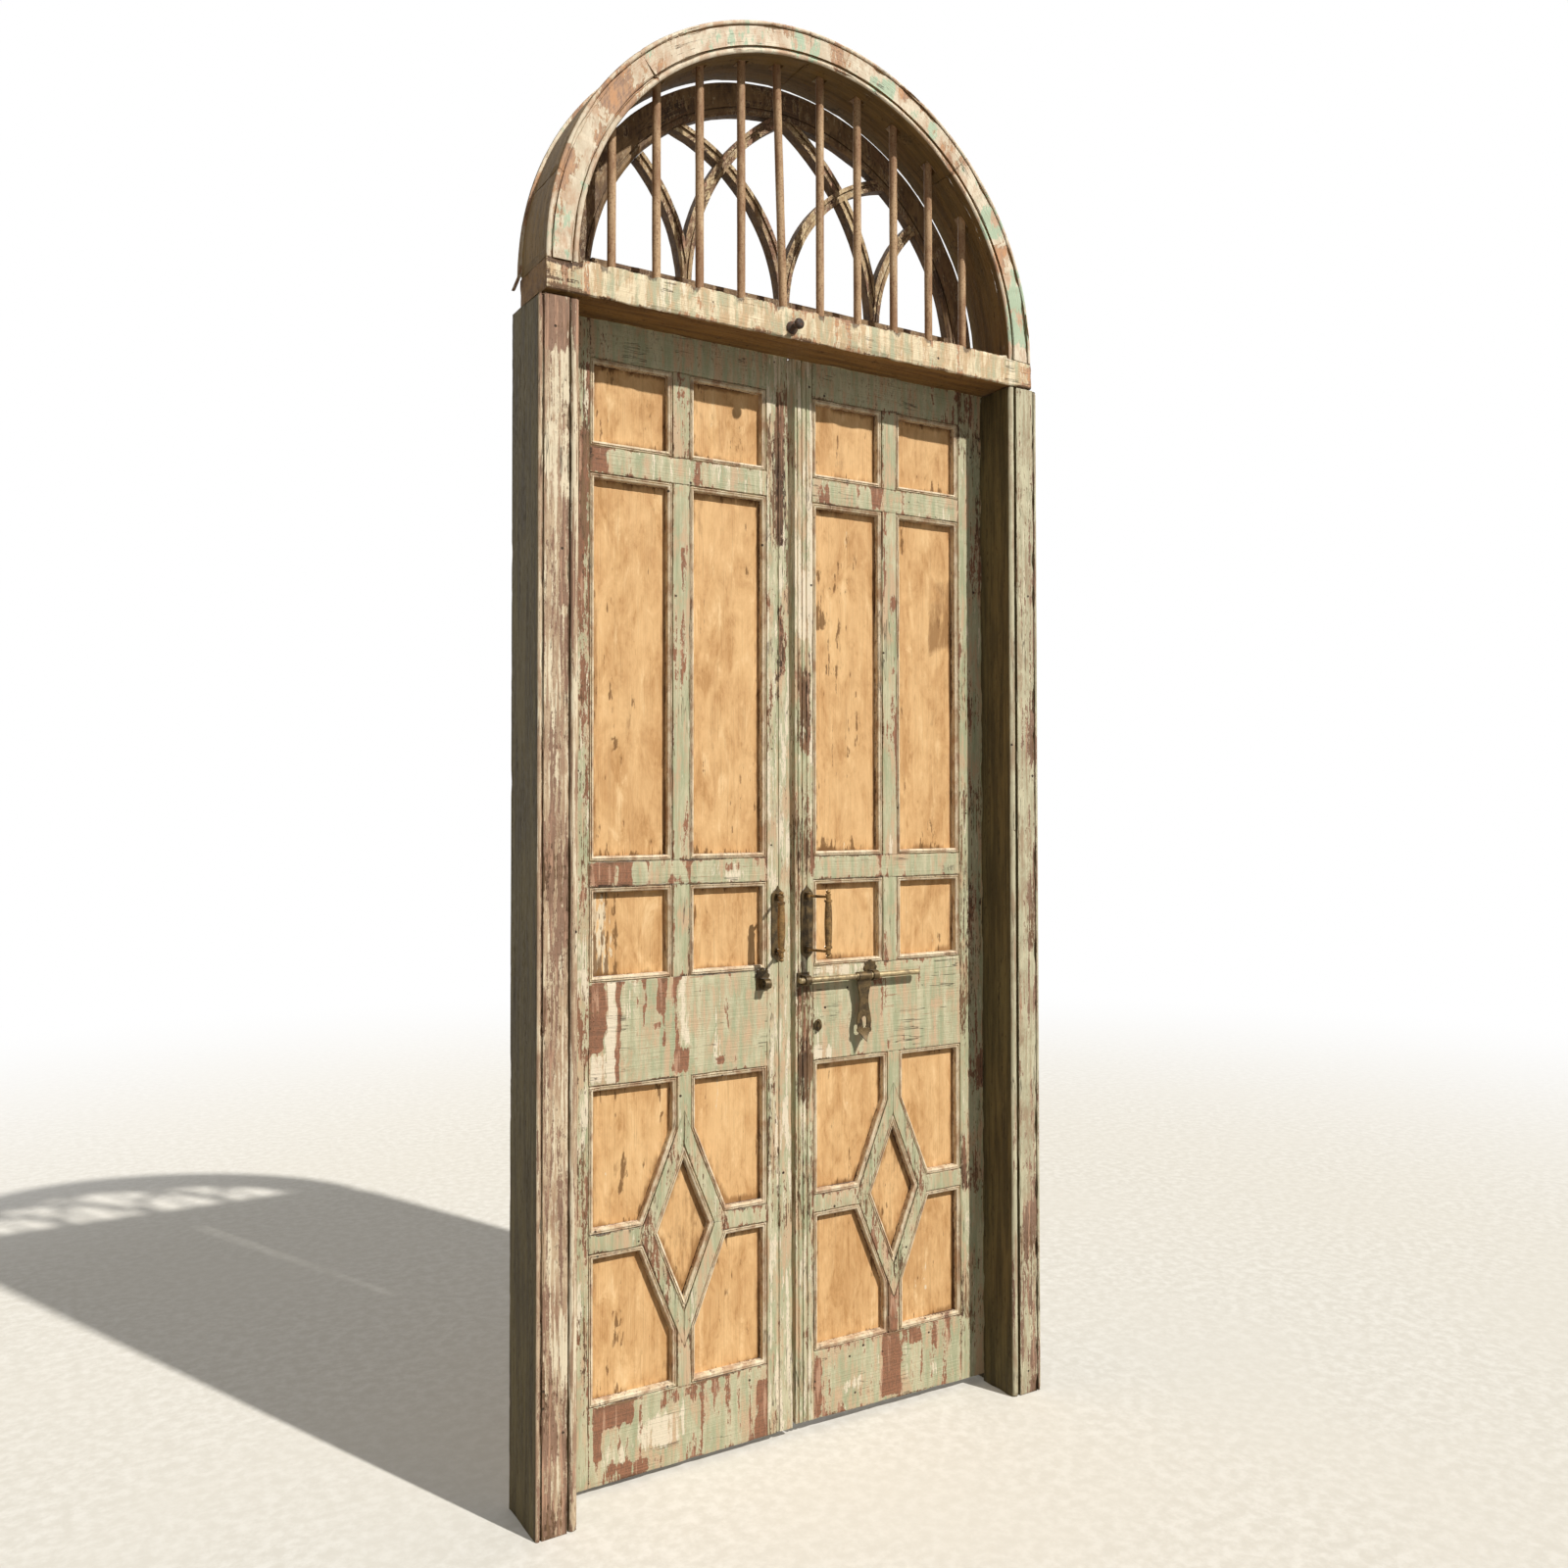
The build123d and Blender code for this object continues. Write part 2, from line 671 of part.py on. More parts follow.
def toe_height(leaf, x):
    """Height of the leaf's trimmed bottom edge at an X."""
    span = leaf["side"] * LEAF_HINGE_EDGE - leaf["meeting_foot"]
    share = (x - leaf["meeting_foot"]) / span
    return leaf["meeting_toe"] + share * (leaf["hinge_toe"] - leaf["meeting_toe"])


def rail_levels():
    """Bottom and top of each rail above the bottom rail."""
    return {
        "lock_rail": (LOCK_RAIL_BOTTOM, LOCK_RAIL_TOP),
        "middle_rail": (MIDDLE_RAIL_BOTTOM, MIDDLE_RAIL_TOP),
        "frieze_rail": (FRIEZE_BOTTOM, FRIEZE_TOP),
        "top_rail": (TOP_RAIL_BOTTOM, LEAF_TOP),
    }


def rail_tenons(arris, direction, mode, clearance=0.0):
    """Every rail's tenon into the stile that starts at an arris and lies in a direction."""
    levels = dict(rail_levels())
    levels["bottom_rail"] = (BOTTOM_TENON_FOOT, BOTTOM_RAIL_TOP)
    middle = LEAF_FRONT + LEAF_THICK / 2
    half = TENON_THICK / 2 + clearance
    for z0, z1 in levels.values():
        x0, x1 = ordered(arris, arris + direction * (TENON_LENGTH + clearance))
        low = z0 + TENON_SHOULDER - clearance
        high = z1 - TENON_SHOULDER + clearance
        block(x0, x1, middle - half, middle + half, low, high, mode)


def stiles(leaf):
    """The hinge stile and the meeting stile, full height, mortised for the rails."""
    name = leaf["name"]
    side = leaf["side"]
    hinge_edge = side * LEAF_HINGE_EDGE
    hinge_arris = side * HINGE_ARRIS
    with BuildPart() as outer_stile:
        slab(
            [
                (hinge_edge, toe_height(leaf, hinge_edge)),
                (hinge_arris, toe_height(leaf, hinge_arris)),
                (hinge_arris, LEAF_TOP),
                (hinge_edge, LEAF_TOP),
            ],
            LEAF_FRONT,
            LEAF_BACK,
        )
        rail_tenons(hinge_arris, side, Mode.SUBTRACT, JOINT_CLEARANCE)
    save(outer_stile, f"{name}_hinge_stile")

    arris = leaf["meeting_arris"]
    with BuildPart() as inner_stile:
        slab(
            [
                (arris, toe_height(leaf, arris)),
                (leaf["meeting_foot"], leaf["meeting_toe"]),
                (leaf["meeting_top"], LEAF_TOP),
                (arris, LEAF_TOP),
            ],
            LEAF_FRONT,
            LEAF_BACK,
        )
        for x, width in leaf["grooves"]:
            block(
                x - width / 2, x + width / 2, LEAF_FRONT, LEAF_FRONT + GROOVE_DEPTH,
                0, LEAF_TOP, Mode.SUBTRACT,
            )
        rail_tenons(arris, -side, Mode.SUBTRACT, JOINT_CLEARANCE)
    save(inner_stile, f"{name}_meeting_stile")


def rails(leaf):
    """Five rails between the stiles, each with a tenon at both ends."""
    name = leaf["name"]
    x0, x1 = ordered(leaf["side"] * HINGE_ARRIS, leaf["meeting_arris"])
    middle = LEAF_FRONT + LEAF_THICK / 2
    front = middle - TENON_THICK / 2
    back = middle + TENON_THICK / 2
    for rail, (z0, z1) in rail_levels().items():
        with BuildPart() as piece:
            block(x0, x1, LEAF_FRONT, LEAF_BACK, z0, z1)
            block(
                x0 - TENON_LENGTH, x1 + TENON_LENGTH, front, back,
                z0 + TENON_SHOULDER, z1 - TENON_SHOULDER,
            )
        save(piece, f"{name}_{rail}")
    with BuildPart() as toe:
        slab(
            [
                (x0, toe_height(leaf, x0)),
                (x1, toe_height(leaf, x1)),
                (x1, BOTTOM_RAIL_TOP),
                (x0, BOTTOM_RAIL_TOP),
            ],
            LEAF_FRONT,
            LEAF_BACK,
        )
        block(
            x0 - TENON_LENGTH, x1 + TENON_LENGTH, front, back,
            BOTTOM_TENON_FOOT + TENON_SHOULDER, BOTTOM_RAIL_TOP - TENON_SHOULDER,
        )
    save(toe, f"{name}_bottom_rail")


def diamond(centre, half_width, half_height):
    """Corners of an upright diamond: right, top, left, bottom."""
    return [
        (centre + half_width, DIAMOND_CENTRE),
        (centre, DIAMOND_CENTRE + half_height),
        (centre - half_width, DIAMOND_CENTRE),
        (centre, DIAMOND_CENTRE - half_height),
    ]


def edge_height(offset_x):
    """How far above its centre the diamond's outer edge is, at a distance from the centre line."""
    return DIAMOND_HALF_HEIGHT * (1 - offset_x / DIAMOND_HALF_WIDTH)


def edge_reach(offset_z):
    """How far from its centre line the diamond's outer edge is, at a height above the centre."""
    return DIAMOND_HALF_WIDTH * (1 - offset_z / DIAMOND_HALF_HEIGHT)


def upright(x, width, z0, z1):
    """A short muntin between two rails."""
    block(x - width / 2, x + width / 2, LEAF_FRONT, LEAF_BACK, z0, z1)


def muntins(leaf):
    """Short uprights between the panels and the two cross rails beside the diamond."""
    name = leaf["name"]
    upper = leaf["upper_muntin"]
    lower = leaf["lower_muntin"]
    x0, x1 = ordered(leaf["side"] * HINGE_ARRIS, leaf["meeting_arris"])
    half = CROSS_RAIL / 2
    low = DIAMOND_CENTRE - half
    high = DIAMOND_CENTRE + half
    reach = edge_reach(half)
    point = edge_height(LOWER_MUNTIN / 2)
    with BuildPart() as group:
        upright(upper, UPPER_MUNTIN, LOCK_RAIL_TOP, MIDDLE_RAIL_BOTTOM)
        upright(upper, UPPER_MUNTIN, MIDDLE_RAIL_TOP, FRIEZE_BOTTOM)
        upright(upper, UPPER_MUNTIN, FRIEZE_TOP, TOP_RAIL_BOTTOM)
        half_muntin = LOWER_MUNTIN / 2
        for sign, rail in ((1, LOCK_RAIL_BOTTOM), (-1, BOTTOM_RAIL_TOP)):
            notch = DIAMOND_CENTRE + sign * point
            apex = DIAMOND_CENTRE + sign * DIAMOND_HALF_HEIGHT
            slab(
                [
                    (lower - half_muntin, rail),
                    (lower - half_muntin, notch),
                    (lower, apex),
                    (lower + half_muntin, notch),
                    (lower + half_muntin, rail),
                ],
                LEAF_FRONT,
                LEAF_BACK,
            )
        for sign, arris in ((-1, x0), (1, x1)):
            slab(
                [
                    (arris, low),
                    (lower + sign * reach, low),
                    (lower + sign * DIAMOND_HALF_WIDTH, DIAMOND_CENTRE),
                    (lower + sign * reach, high),
                    (arris, high),
                ],
                LEAF_FRONT,
                LEAF_BACK,
            )
    save(group, f"{name}_muntins")


def inner_diamond():
    """Half width and half height of the diamond's opening."""
    slope = hypot(DIAMOND_HALF_WIDTH, DIAMOND_HALF_HEIGHT)
    inradius = DIAMOND_HALF_WIDTH * DIAMOND_HALF_HEIGHT / slope
    share = 1 - DIAMOND_MEMBER / inradius
    return DIAMOND_HALF_WIDTH * share, DIAMOND_HALF_HEIGHT * share


def diamond_frame(leaf):
    """Four pieces mitred at the corners of the diamond."""
    centre = leaf["lower_muntin"]
    outer = diamond(centre, DIAMOND_HALF_WIDTH, DIAMOND_HALF_HEIGHT)
    inner = diamond(centre, *inner_diamond())
    pieces = []
    for i in range(4):
        with BuildPart() as member:
            slab([outer[i], outer[i - 3], inner[i - 3], inner[i]], LEAF_FRONT, LEAF_BACK)
        pieces.append(member.part.solid())
    save_group(pieces, f"{leaf['name']}_diamond_frame")


def panel(points):
    """A flat panel that fills an opening, with a rounded bead planted round it on a sunk quirk."""
    bead = LEAF_FRONT + BEAD_SETBACK
    quirk = LEAF_FRONT + QUIRK_DEPTH
    surface = LEAF_FRONT + PANEL_DEPTH
    slab(points, quirk, LEAF_FRONT + PANEL_BACK)
    slab(points, bead, quirk, inset=QUIRK_WIDTH)
    slab(points, bead, surface, Mode.SUBTRACT, inset=BEAD_WIDTH)


def round_beads(group):
    """Round the inner arris of every bead in a group of panels."""
    tops = group.faces().filter_by(Axis.Y).group_by(Axis.Y)[0]
    edges = [edge for face in tops for edge in face.inner_wires()[0].edges()]
    fillet(edges, BEAD_ROUND)


def panels(leaf):
    """All panels of one leaf, like panels grouped together."""
    name = leaf["name"]
    x0, x1 = ordered(leaf["side"] * HINGE_ARRIS, leaf["meeting_arris"])
    upper = leaf["upper_muntin"]
    half_upper = UPPER_MUNTIN / 2
    rows = {
        "top_panels": (FRIEZE_TOP, TOP_RAIL_BOTTOM),
        "tall_panels": (MIDDLE_RAIL_TOP, FRIEZE_BOTTOM),
        "small_panels": (LOCK_RAIL_TOP, MIDDLE_RAIL_BOTTOM),
    }
    for row, (z0, z1) in rows.items():
        with BuildPart() as pair:
            for a, b in ((x0, upper - half_upper), (upper + half_upper, x1)):
                panel([(a, z0), (b, z0), (b, z1), (a, z1)])
            round_beads(pair)
        save(pair, f"{name}_{row}")

    centre = leaf["lower_muntin"]
    half = LOWER_MUNTIN / 2
    rail_half = CROSS_RAIL / 2
    with BuildPart() as corners:
        for sign_x, arris in ((-1, x0), (1, x1)):
            for sign_z, rail in ((1, LOCK_RAIL_BOTTOM), (-1, BOTTOM_RAIL_TOP)):
                near = DIAMOND_CENTRE + sign_z * rail_half
                panel(
                    [
                        (arris, near),
                        (centre + sign_x * edge_reach(rail_half), near),
                        (centre + sign_x * half, DIAMOND_CENTRE + sign_z * edge_height(half)),
                        (centre + sign_x * half, rail),
                        (arris, rail),
                    ]
                )
        round_beads(corners)
    save(corners, f"{name}_corner_panels")

    with BuildPart() as middle:
        panel(diamond(centre, *inner_diamond()))
        round_beads(middle)
    save(middle, f"{name}_diamond_panel")


# Hinges

def knuckle_spans():
    """Height ranges of the frame's two knuckles and the leaf's one, about a hinge's centre."""
    third = HINGE_LENGTH / 6
    half = HINGE_LENGTH / 2
    return [(-half, -third), (third, half)], [(-third + KNUCKLE_GAP, third - KNUCKLE_GAP)]


def butts(side, spans, plate_y, direction):
    """Flaps and knuckles of one leaf's butts, on the frame's side or on the leaf's side."""
    pin = side * PIN_X
    half = HINGE_LENGTH / 2
    drop = PIN_Y - plate_y - FLAP_THICK
    gap = sqrt(KNUCKLE_RADIUS**2 - drop**2) + KNUCKLE_GAP
    near = pin + direction * gap
    far = pin + direction * (gap + FLAP_WIDTH)
    for z in HINGE_HEIGHTS:
        x0, x1 = ordered(near, far)
        block(x0, x1, plate_y, plate_y + FLAP_THICK, z - half, z + half)
        for low, high in spans:
            x0, x1 = ordered(pin, far)
            block(x0, x1, plate_y, plate_y + FLAP_THICK, z + low, z + high)
            pipe(pin, PIN_Y, z + low, z + high, KNUCKLE_RADIUS)
            pipe(pin, PIN_Y, z + low, z + high, PIN_RADIUS + PIN_CLEARANCE, Mode.SUBTRACT)


def hinges():
    """Six butts: frame halves, leaf halves and the pins that join them."""
    frame_spans, leaf_spans = knuckle_spans()
    with BuildPart() as frame_flaps:
        for side in (-1, 1):
            butts(side, frame_spans, FRAME_DEPTH, side)
    save(frame_flaps, "frame_hinge_flaps")
    for leaf in (LEFT_LEAF, RIGHT_LEAF):
        side = leaf["side"]
        with BuildPart() as leaf_flaps:
            butts(side, leaf_spans, LEAF_BACK, -side)
        save(leaf_flaps, f"{leaf['name']}_hinge_flaps")
    with BuildPart() as pins:
        for side in (-1, 1):
            for z in HINGE_HEIGHTS:
                half = HINGE_LENGTH / 2
                pipe(side * PIN_X, PIN_Y, z - half, z + half, PIN_RADIUS)
                pipe(side * PIN_X, PIN_Y, z + half, z + half + PIN_RADIUS, PIN_HEAD)
    save(pins, "hinge_pins")


# Pulls

def pull_plate(name, x):
    """Back plate with ogee ends and two pierced ears."""
    half = PULL_PLATE_WIDTH / 2
    top = PULL_CENTRE_HEIGHT + PULL_PLATE_HEIGHT / 2
    bottom = PULL_CENTRE_HEIGHT - PULL_PLATE_HEIGHT / 2
    shoulder = top - PULL_PLATE_OGEE
    foot = bottom + PULL_PLATE_OGEE
    back = LEAF_FRONT
    face = LEAF_FRONT - PULL_PLATE_THICK
    with BuildPart() as plate:
        with BuildSketch(elevation(face)) as outline:
            with BuildLine():
                right_side = Line((x + half, foot), (x + half, shoulder))
                right_curve = Spline(
                    right_side @ 1,
                    (x + OGEE_NIP_HALF, shoulder + OGEE_NIP_RISE),
                    (x, top),
                    tangents=((0, 1), (-0.35, 1)),
                )
                mirror(right_curve, about=Plane.YZ.offset(x))
                mirror(right_side, about=Plane.YZ.offset(x))
                mirror(right_curve, about=Plane.XZ.offset(-PULL_CENTRE_HEIGHT))
                Spline(
                    (x - half, foot),
                    (x - OGEE_NIP_HALF, foot - OGEE_NIP_RISE),
                    (x, bottom),
                    tangents=((0, -1), (0.35, -1)),
                )
            make_face()
        extrude(outline.sketch, amount=face - back)
        for sign in (-1, 1):
            z = PULL_CENTRE_HEIGHT + sign * PULL_SPACING / 2
            gap = PULL_ARM_HEIGHT / 2 + PULL_EAR_GAP
            for ear in (-1, 1):
                low, high = ordered(z + ear * gap, z + ear * (gap + PULL_EAR_THICK))
                pipe(x, PULL_PIVOT_Y, low, high, PULL_EAR_RADIUS)
                block(x - PULL_EAR_RADIUS, x + PULL_EAR_RADIUS, PULL_PIVOT_Y, face, low, high)
                hole = PULL_PIVOT_RADIUS + PIN_CLEARANCE
                pipe(x, PULL_PIVOT_Y, low, high, hole, Mode.SUBTRACT)
    save(plate, name)


def grip_profile(x, y):
    """Half section of the turned grip: a belly between beads, round necks and a finial at each end."""
    arm = PULL_SPACING / 2
    bead_top = arm - NECK_BELOW
    bead_foot = bead_top - GRIP_BEAD
    ring = arm + NECK_ABOVE
    stem = ring + FINIAL_RING + GRIP_EASE
    tip = arm + FINIAL_LENGTH
    slender = GRIP_NECK / 2
    with BuildSketch(Plane(origin=(x, y, PULL_CENTRE_HEIGHT), x_dir=(1, 0, 0), z_dir=(0, -1, 0))) as profile:
        with BuildLine():
            Line((0, 0), (GRIP_RADIUS, 0))
            TangentArc((GRIP_RADIUS, 0), (GRIP_WAIST, bead_foot), tangent=(0, 1))
            Polyline(
                (GRIP_WAIST, bead_foot),
                (GRIP_RADIUS, bead_foot + GRIP_EASE),
                (GRIP_RADIUS, bead_top - GRIP_EASE),
                (GRIP_NECK, bead_top),
                (GRIP_NECK, ring),
                (GRIP_WAIST, ring),
                (GRIP_WAIST, ring + FINIAL_RING),
                (slender, stem),
            )
            ThreePointArc((slender, stem), (GRIP_NECK, (stem + tip) / 2), (slender, tip - GRIP_EASE))
            Polyline((slender, tip - GRIP_EASE), (0, tip), (0, 0))
        make_face()
        mirror(about=Plane.XY.offset(PULL_CENTRE_HEIGHT))
    return profile.sketch


def pull_bail(name, x, splay):
    """Turned grip with finials on two arms that pivot in the plate's ears."""
    direction = Vector(sin(radians(splay)), -cos(radians(splay)), 0)
    grip = Vector(x, PULL_PIVOT_Y, 0) + direction * PULL_REACH
    with BuildPart() as bail:
        revolve(grip_profile(grip.X, grip.Y), axis=Axis((grip.X, grip.Y, 0), (0, 0, 1)))
        for sign in (-1, 1):
            z = PULL_CENTRE_HEIGHT + sign * PULL_SPACING / 2
            half = PULL_ARM_HEIGHT / 2
            arm = Plane(origin=(x, PULL_PIVOT_Y, z), x_dir=(0, 0, 1), z_dir=direction)
            with BuildSketch(arm) as section:
                Circle(PULL_ARM_RADIUS)
            extrude(section.sketch, amount=PULL_REACH)
            pipe(x, PULL_PIVOT_Y, z - half, z + half, PULL_HUB_RADIUS)
            reach = half + PULL_EAR_GAP + PULL_EAR_THICK + PULL_PIVOT_PROUD
            pipe(x, PULL_PIVOT_Y, z - reach, z + reach, PULL_PIVOT_RADIUS)
    save(bail, name)


# Sliding bolt

def fan_outline(x, z, sign):
    """Scalloped fan above or below a bracket."""
    reach = FAN_RADIUS - FAN_LOBE
    with BuildSketch(elevation(LEAF_FRONT - BRACKET_PLATE_THICK)) as fan:
        with Locations((x, z)):
            Circle(FAN_HUB)
        for i in range(FAN_LOBES):
            angle = radians(180 * i / (FAN_LOBES - 1))
            with Locations((x + reach * cos(angle), z + sign * reach * sin(angle))):
                Circle(FAN_LOBE)
    return fan.sketch


def rod_bracket(x, ornate, clearance):
    """An eye on a foot plate that carries the rod; the outer ones wear a scalloped fan."""
    half = BRACKET_WIDTH / 2
    face = LEAF_FRONT - BRACKET_PLATE_THICK
    plate_half = BRACKET_PLATE_WIDTH / 2
    low = ROD_HEIGHT - BRACKET_FOOT_DROP
    high = ROD_HEIGHT + BRACKET_FOOT_DROP
    block(x - plate_half, x + plate_half, face, LEAF_FRONT, low, high)
    if ornate:
        extrude(fan_outline(x, high, 1), amount=-BRACKET_PLATE_THICK)
    block(x - half, x + half, ROD_Y, face, ROD_HEIGHT - BRACKET_EYE, ROD_HEIGHT + BRACKET_EYE)
    cross_bar(x - half, x + half, ROD_Y, ROD_HEIGHT, BRACKET_EYE)
    cross_bar(x - half, x + half, ROD_Y, ROD_HEIGHT, ROD_RADIUS + clearance, Mode.SUBTRACT)


def bolt_fixed_parts():
    """The keeper on the left leaf, the brackets and the hasp's staple on the right leaf."""
    with BuildPart() as keeper:
        rod_bracket(KEEPER_X, True, KEEPER_CLEARANCE)
    save(keeper, "bolt_keeper")
    with BuildPart() as brackets:
        rod_bracket(BRACKET_XS[0], False, ROD_CLEARANCE)
        rod_bracket(BRACKET_XS[1], True, ROD_CLEARANCE)
    save(brackets, "bolt_brackets")

    face = LEAF_FRONT - BRACKET_PLATE_THICK
    z = ROD_HEIGHT - HASP_SLOT_DROP
    leg = STAPLE_SPREAD / 2
    root = face + STAPLE_TANG
    reach = STAPLE_REACH - BRACKET_PLATE_THICK
    with BuildPart() as staple:
        with BuildSketch(elevation(face)) as seat:
            with Locations((STAPLE_X, z)):
                Ellipse(STAPLE_PLATE_WIDTH / 2, STAPLE_PLATE / 2)
        extrude(seat.sketch, amount=-BRACKET_PLATE_THICK)
        with BuildLine() as wire:
            Line((STAPLE_X, root, z - leg), (STAPLE_X, face - reach + leg, z - leg))
            ThreePointArc(
                (STAPLE_X, face - reach + leg, z - leg),
                (STAPLE_X, face - reach, z),
                (STAPLE_X, face - reach + leg, z + leg),
            )
            Line((STAPLE_X, face - reach + leg, z + leg), (STAPLE_X, root, z + leg))
        with BuildSketch(Plane(origin=wire.line @ 0, z_dir=wire.line % 0)) as section:
            Circle(STAPLE_WIRE)
        sweep(section.sketch, path=wire.line)
    save(staple, "hasp_staple")


def bolt_rod():
    """Round rod with a collar each side of the hasp's hub and a rounded nose."""
    x0 = ROD_DRAWN_END
    with BuildPart() as rod:
        cross_bar(x0, x0 + ROD_LENGTH, ROD_Y, ROD_HEIGHT, ROD_RADIUS)
        ends = rod.edges().filter_by(GeomType.CIRCLE)
        chamfer(ends, ROD_CHAMFER)
        inner = HASP_WIDTH / 2 + HASP_HUB_CLEARANCE
        for sign in (-1, 1):
            a, b = ordered(HASP_X + sign * inner, HASP_X + sign * (inner + COLLAR_LENGTH))
            cross_bar(a, b, ROD_Y, ROD_HEIGHT, COLLAR_RADIUS)
    save(rod, "bolt_rod")


def hasp_outline():
    """Front outline of the hasp below the rod: waist, slotted blade with side lobes, pointed tip."""
    top = ROD_HEIGHT - ROD_RADIUS - HASP_TOP_EASE
    slot = ROD_HEIGHT - HASP_SLOT_DROP
    tip = ROD_HEIGHT - HASP_LENGTH
    lobe = slot - HASP_SLOT_LENGTH / 2 - HASP_RIM
    shoulder = HASP_X + HASP_WIDTH / 2
    widest = HASP_X + HASP_LOBE / 2
    with BuildSketch(elevation(ROD_Y - HASP_THICK / 2)) as outline:
        with BuildLine():
            right = Line((shoulder, top), (shoulder, top - HASP_SHOULDER))
            waist = Spline(
                right @ 1,
                (HASP_X + HASP_NECK / 2, top - HASP_WAIST_DROP),
                (widest, slot),
                tangents=((-0.25, -1), (0.1, -1)),
            )
            Line(waist @ 1, (widest - HASP_NICK, lobe + HASP_LOBE_ROUND))
            curl = ThreePointArc(
                (widest - HASP_NICK, lobe + HASP_LOBE_ROUND),
                (widest, lobe),
                (widest - HASP_LOBE_ROUND, lobe - HASP_RIM),
            )
            Polyline(curl @ 1, (HASP_X, tip), (HASP_X, top), right @ 0)
        make_face()
        mirror(about=Plane.YZ.offset(HASP_X))
        with Locations((HASP_X, slot)):
            SlotOverall(HASP_SLOT_LENGTH, HASP_SLOT_WIDTH, rotation=90, mode=Mode.SUBTRACT)
    return outline.sketch


def bolt_hasp():
    """Hasp that hangs plumb from the rod, its slot level with the staple."""
    half = HASP_WIDTH / 2
    bore = ROD_RADIUS + ROD_CLEARANCE
    with BuildPart() as hasp:
        cross_bar(HASP_X - half, HASP_X + half, ROD_Y, ROD_HEIGHT, HASP_HUB)
        extrude(hasp_outline(), amount=-HASP_THICK)
        cross_bar(HASP_X - half, HASP_X + half, ROD_Y, ROD_HEIGHT, bore, Mode.SUBTRACT)
    save(hasp, "bolt_hasp")


jamb("left_jamb", -1, JAMB_GAP_LEFT)
jamb("right_jamb", 1, JAMB_GAP_RIGHT)
transom()
arch_segments()
arch_back_band()
fanlight_bars()
transom_spike()
sash_ring()
sash_rail()
tracery()
for leaf in (LEFT_LEAF, RIGHT_LEAF):
    stiles(leaf)
    rails(leaf)
    muntins(leaf)
    diamond_frame(leaf)
    panels(leaf)
hinges()
pull_plate("left_pull_plate", LEFT_PULL_X)
pull_plate("right_pull_plate", RIGHT_PULL_X)
pull_bail("left_pull_bail", LEFT_PULL_X, LEFT_PULL_SPLAY)
pull_bail("right_pull_bail", RIGHT_PULL_X, RIGHT_PULL_SPLAY)
bolt_fixed_parts()
bolt_rod()
bolt_hasp()
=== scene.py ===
import json
import math
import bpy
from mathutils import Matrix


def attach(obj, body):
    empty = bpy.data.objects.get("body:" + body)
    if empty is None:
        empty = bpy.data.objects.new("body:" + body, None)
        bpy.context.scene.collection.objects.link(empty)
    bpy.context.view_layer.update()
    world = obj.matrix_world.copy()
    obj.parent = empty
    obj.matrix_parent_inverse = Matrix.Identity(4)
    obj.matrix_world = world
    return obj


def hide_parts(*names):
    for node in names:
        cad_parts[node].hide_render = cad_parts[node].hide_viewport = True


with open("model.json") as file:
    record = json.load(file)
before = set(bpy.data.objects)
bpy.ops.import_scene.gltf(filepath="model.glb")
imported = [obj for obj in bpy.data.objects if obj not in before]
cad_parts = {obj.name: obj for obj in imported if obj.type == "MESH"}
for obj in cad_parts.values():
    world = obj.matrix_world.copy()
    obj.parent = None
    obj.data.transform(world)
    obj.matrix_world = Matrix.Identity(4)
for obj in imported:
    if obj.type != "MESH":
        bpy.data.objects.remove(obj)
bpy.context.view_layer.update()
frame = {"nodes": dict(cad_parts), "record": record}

from types import SimpleNamespace

import bmesh
import bpy
import numpy as np
from mathutils import Matrix, Vector
from mathutils.kdtree import KDTree

MM = 0.001
NODES = frame["nodes"]
BODY_OF = {n: body for body, names in frame["record"]["behaviour"]["bodies"].items() for n in names}

# The viewpoint of the photograph
CAMERA_PLACE = Vector((-1.4735, -2.3052, 1.3361))
CAMERA_FORWARD = Vector((0.5177, 0.8553, 0.0202)).normalized()
CAMERA_UP = Vector((-0.0094, -0.0179, 0.9998))
CAMERA_LENS = 30.44
CAMERA_SENSOR = 36.0
CAMERA_SHIFT_Y = -0.0047

# Light
SUN_TRAVEL = Vector((-0.41, 1.0, -1.02))
SUN_STRENGTH = 4.2
SUN_COLOUR = (1.0, 0.985, 0.955)
SUN_SOFTNESS = math.radians(1)
BACK_TRAVEL = Vector((-0.25, -1.0, -0.35))
BACK_STRENGTH = 1.1
SKY_STRENGTH = 0.27
WHITE = (1, 1, 1, 1)

# Floor, in metres
FLOOR_RADIUS = 14
FLOOR_SIDES = 96
FLOOR_FADE_START = 2.2
FLOOR_FADE_END = 7.0
FLOOR_BOUNCE = (0.26, 0.25, 0.23, 1)

# Places in the frame, in metres: what the arch and the sash are struck from, and the panels' planes
ARCH_CENTRE = Vector((0.0, 0.0, 2.356))
SASH_CENTRE = Vector((-0.009, 0.0, 2.356))
DIAMOND_CENTRES = {"left": (-0.251, 0.4785), "right": (0.269, 0.4785)}
BEAD_FRONT = 0.1065
BEAD_FACES = 0.1215

# The fine groove along the middle of every bead, in millimetres
GROOVE_EDGE = 1.6
GROOVE_SIDE = 0.5
GROOVE_DEPTH = 2.5

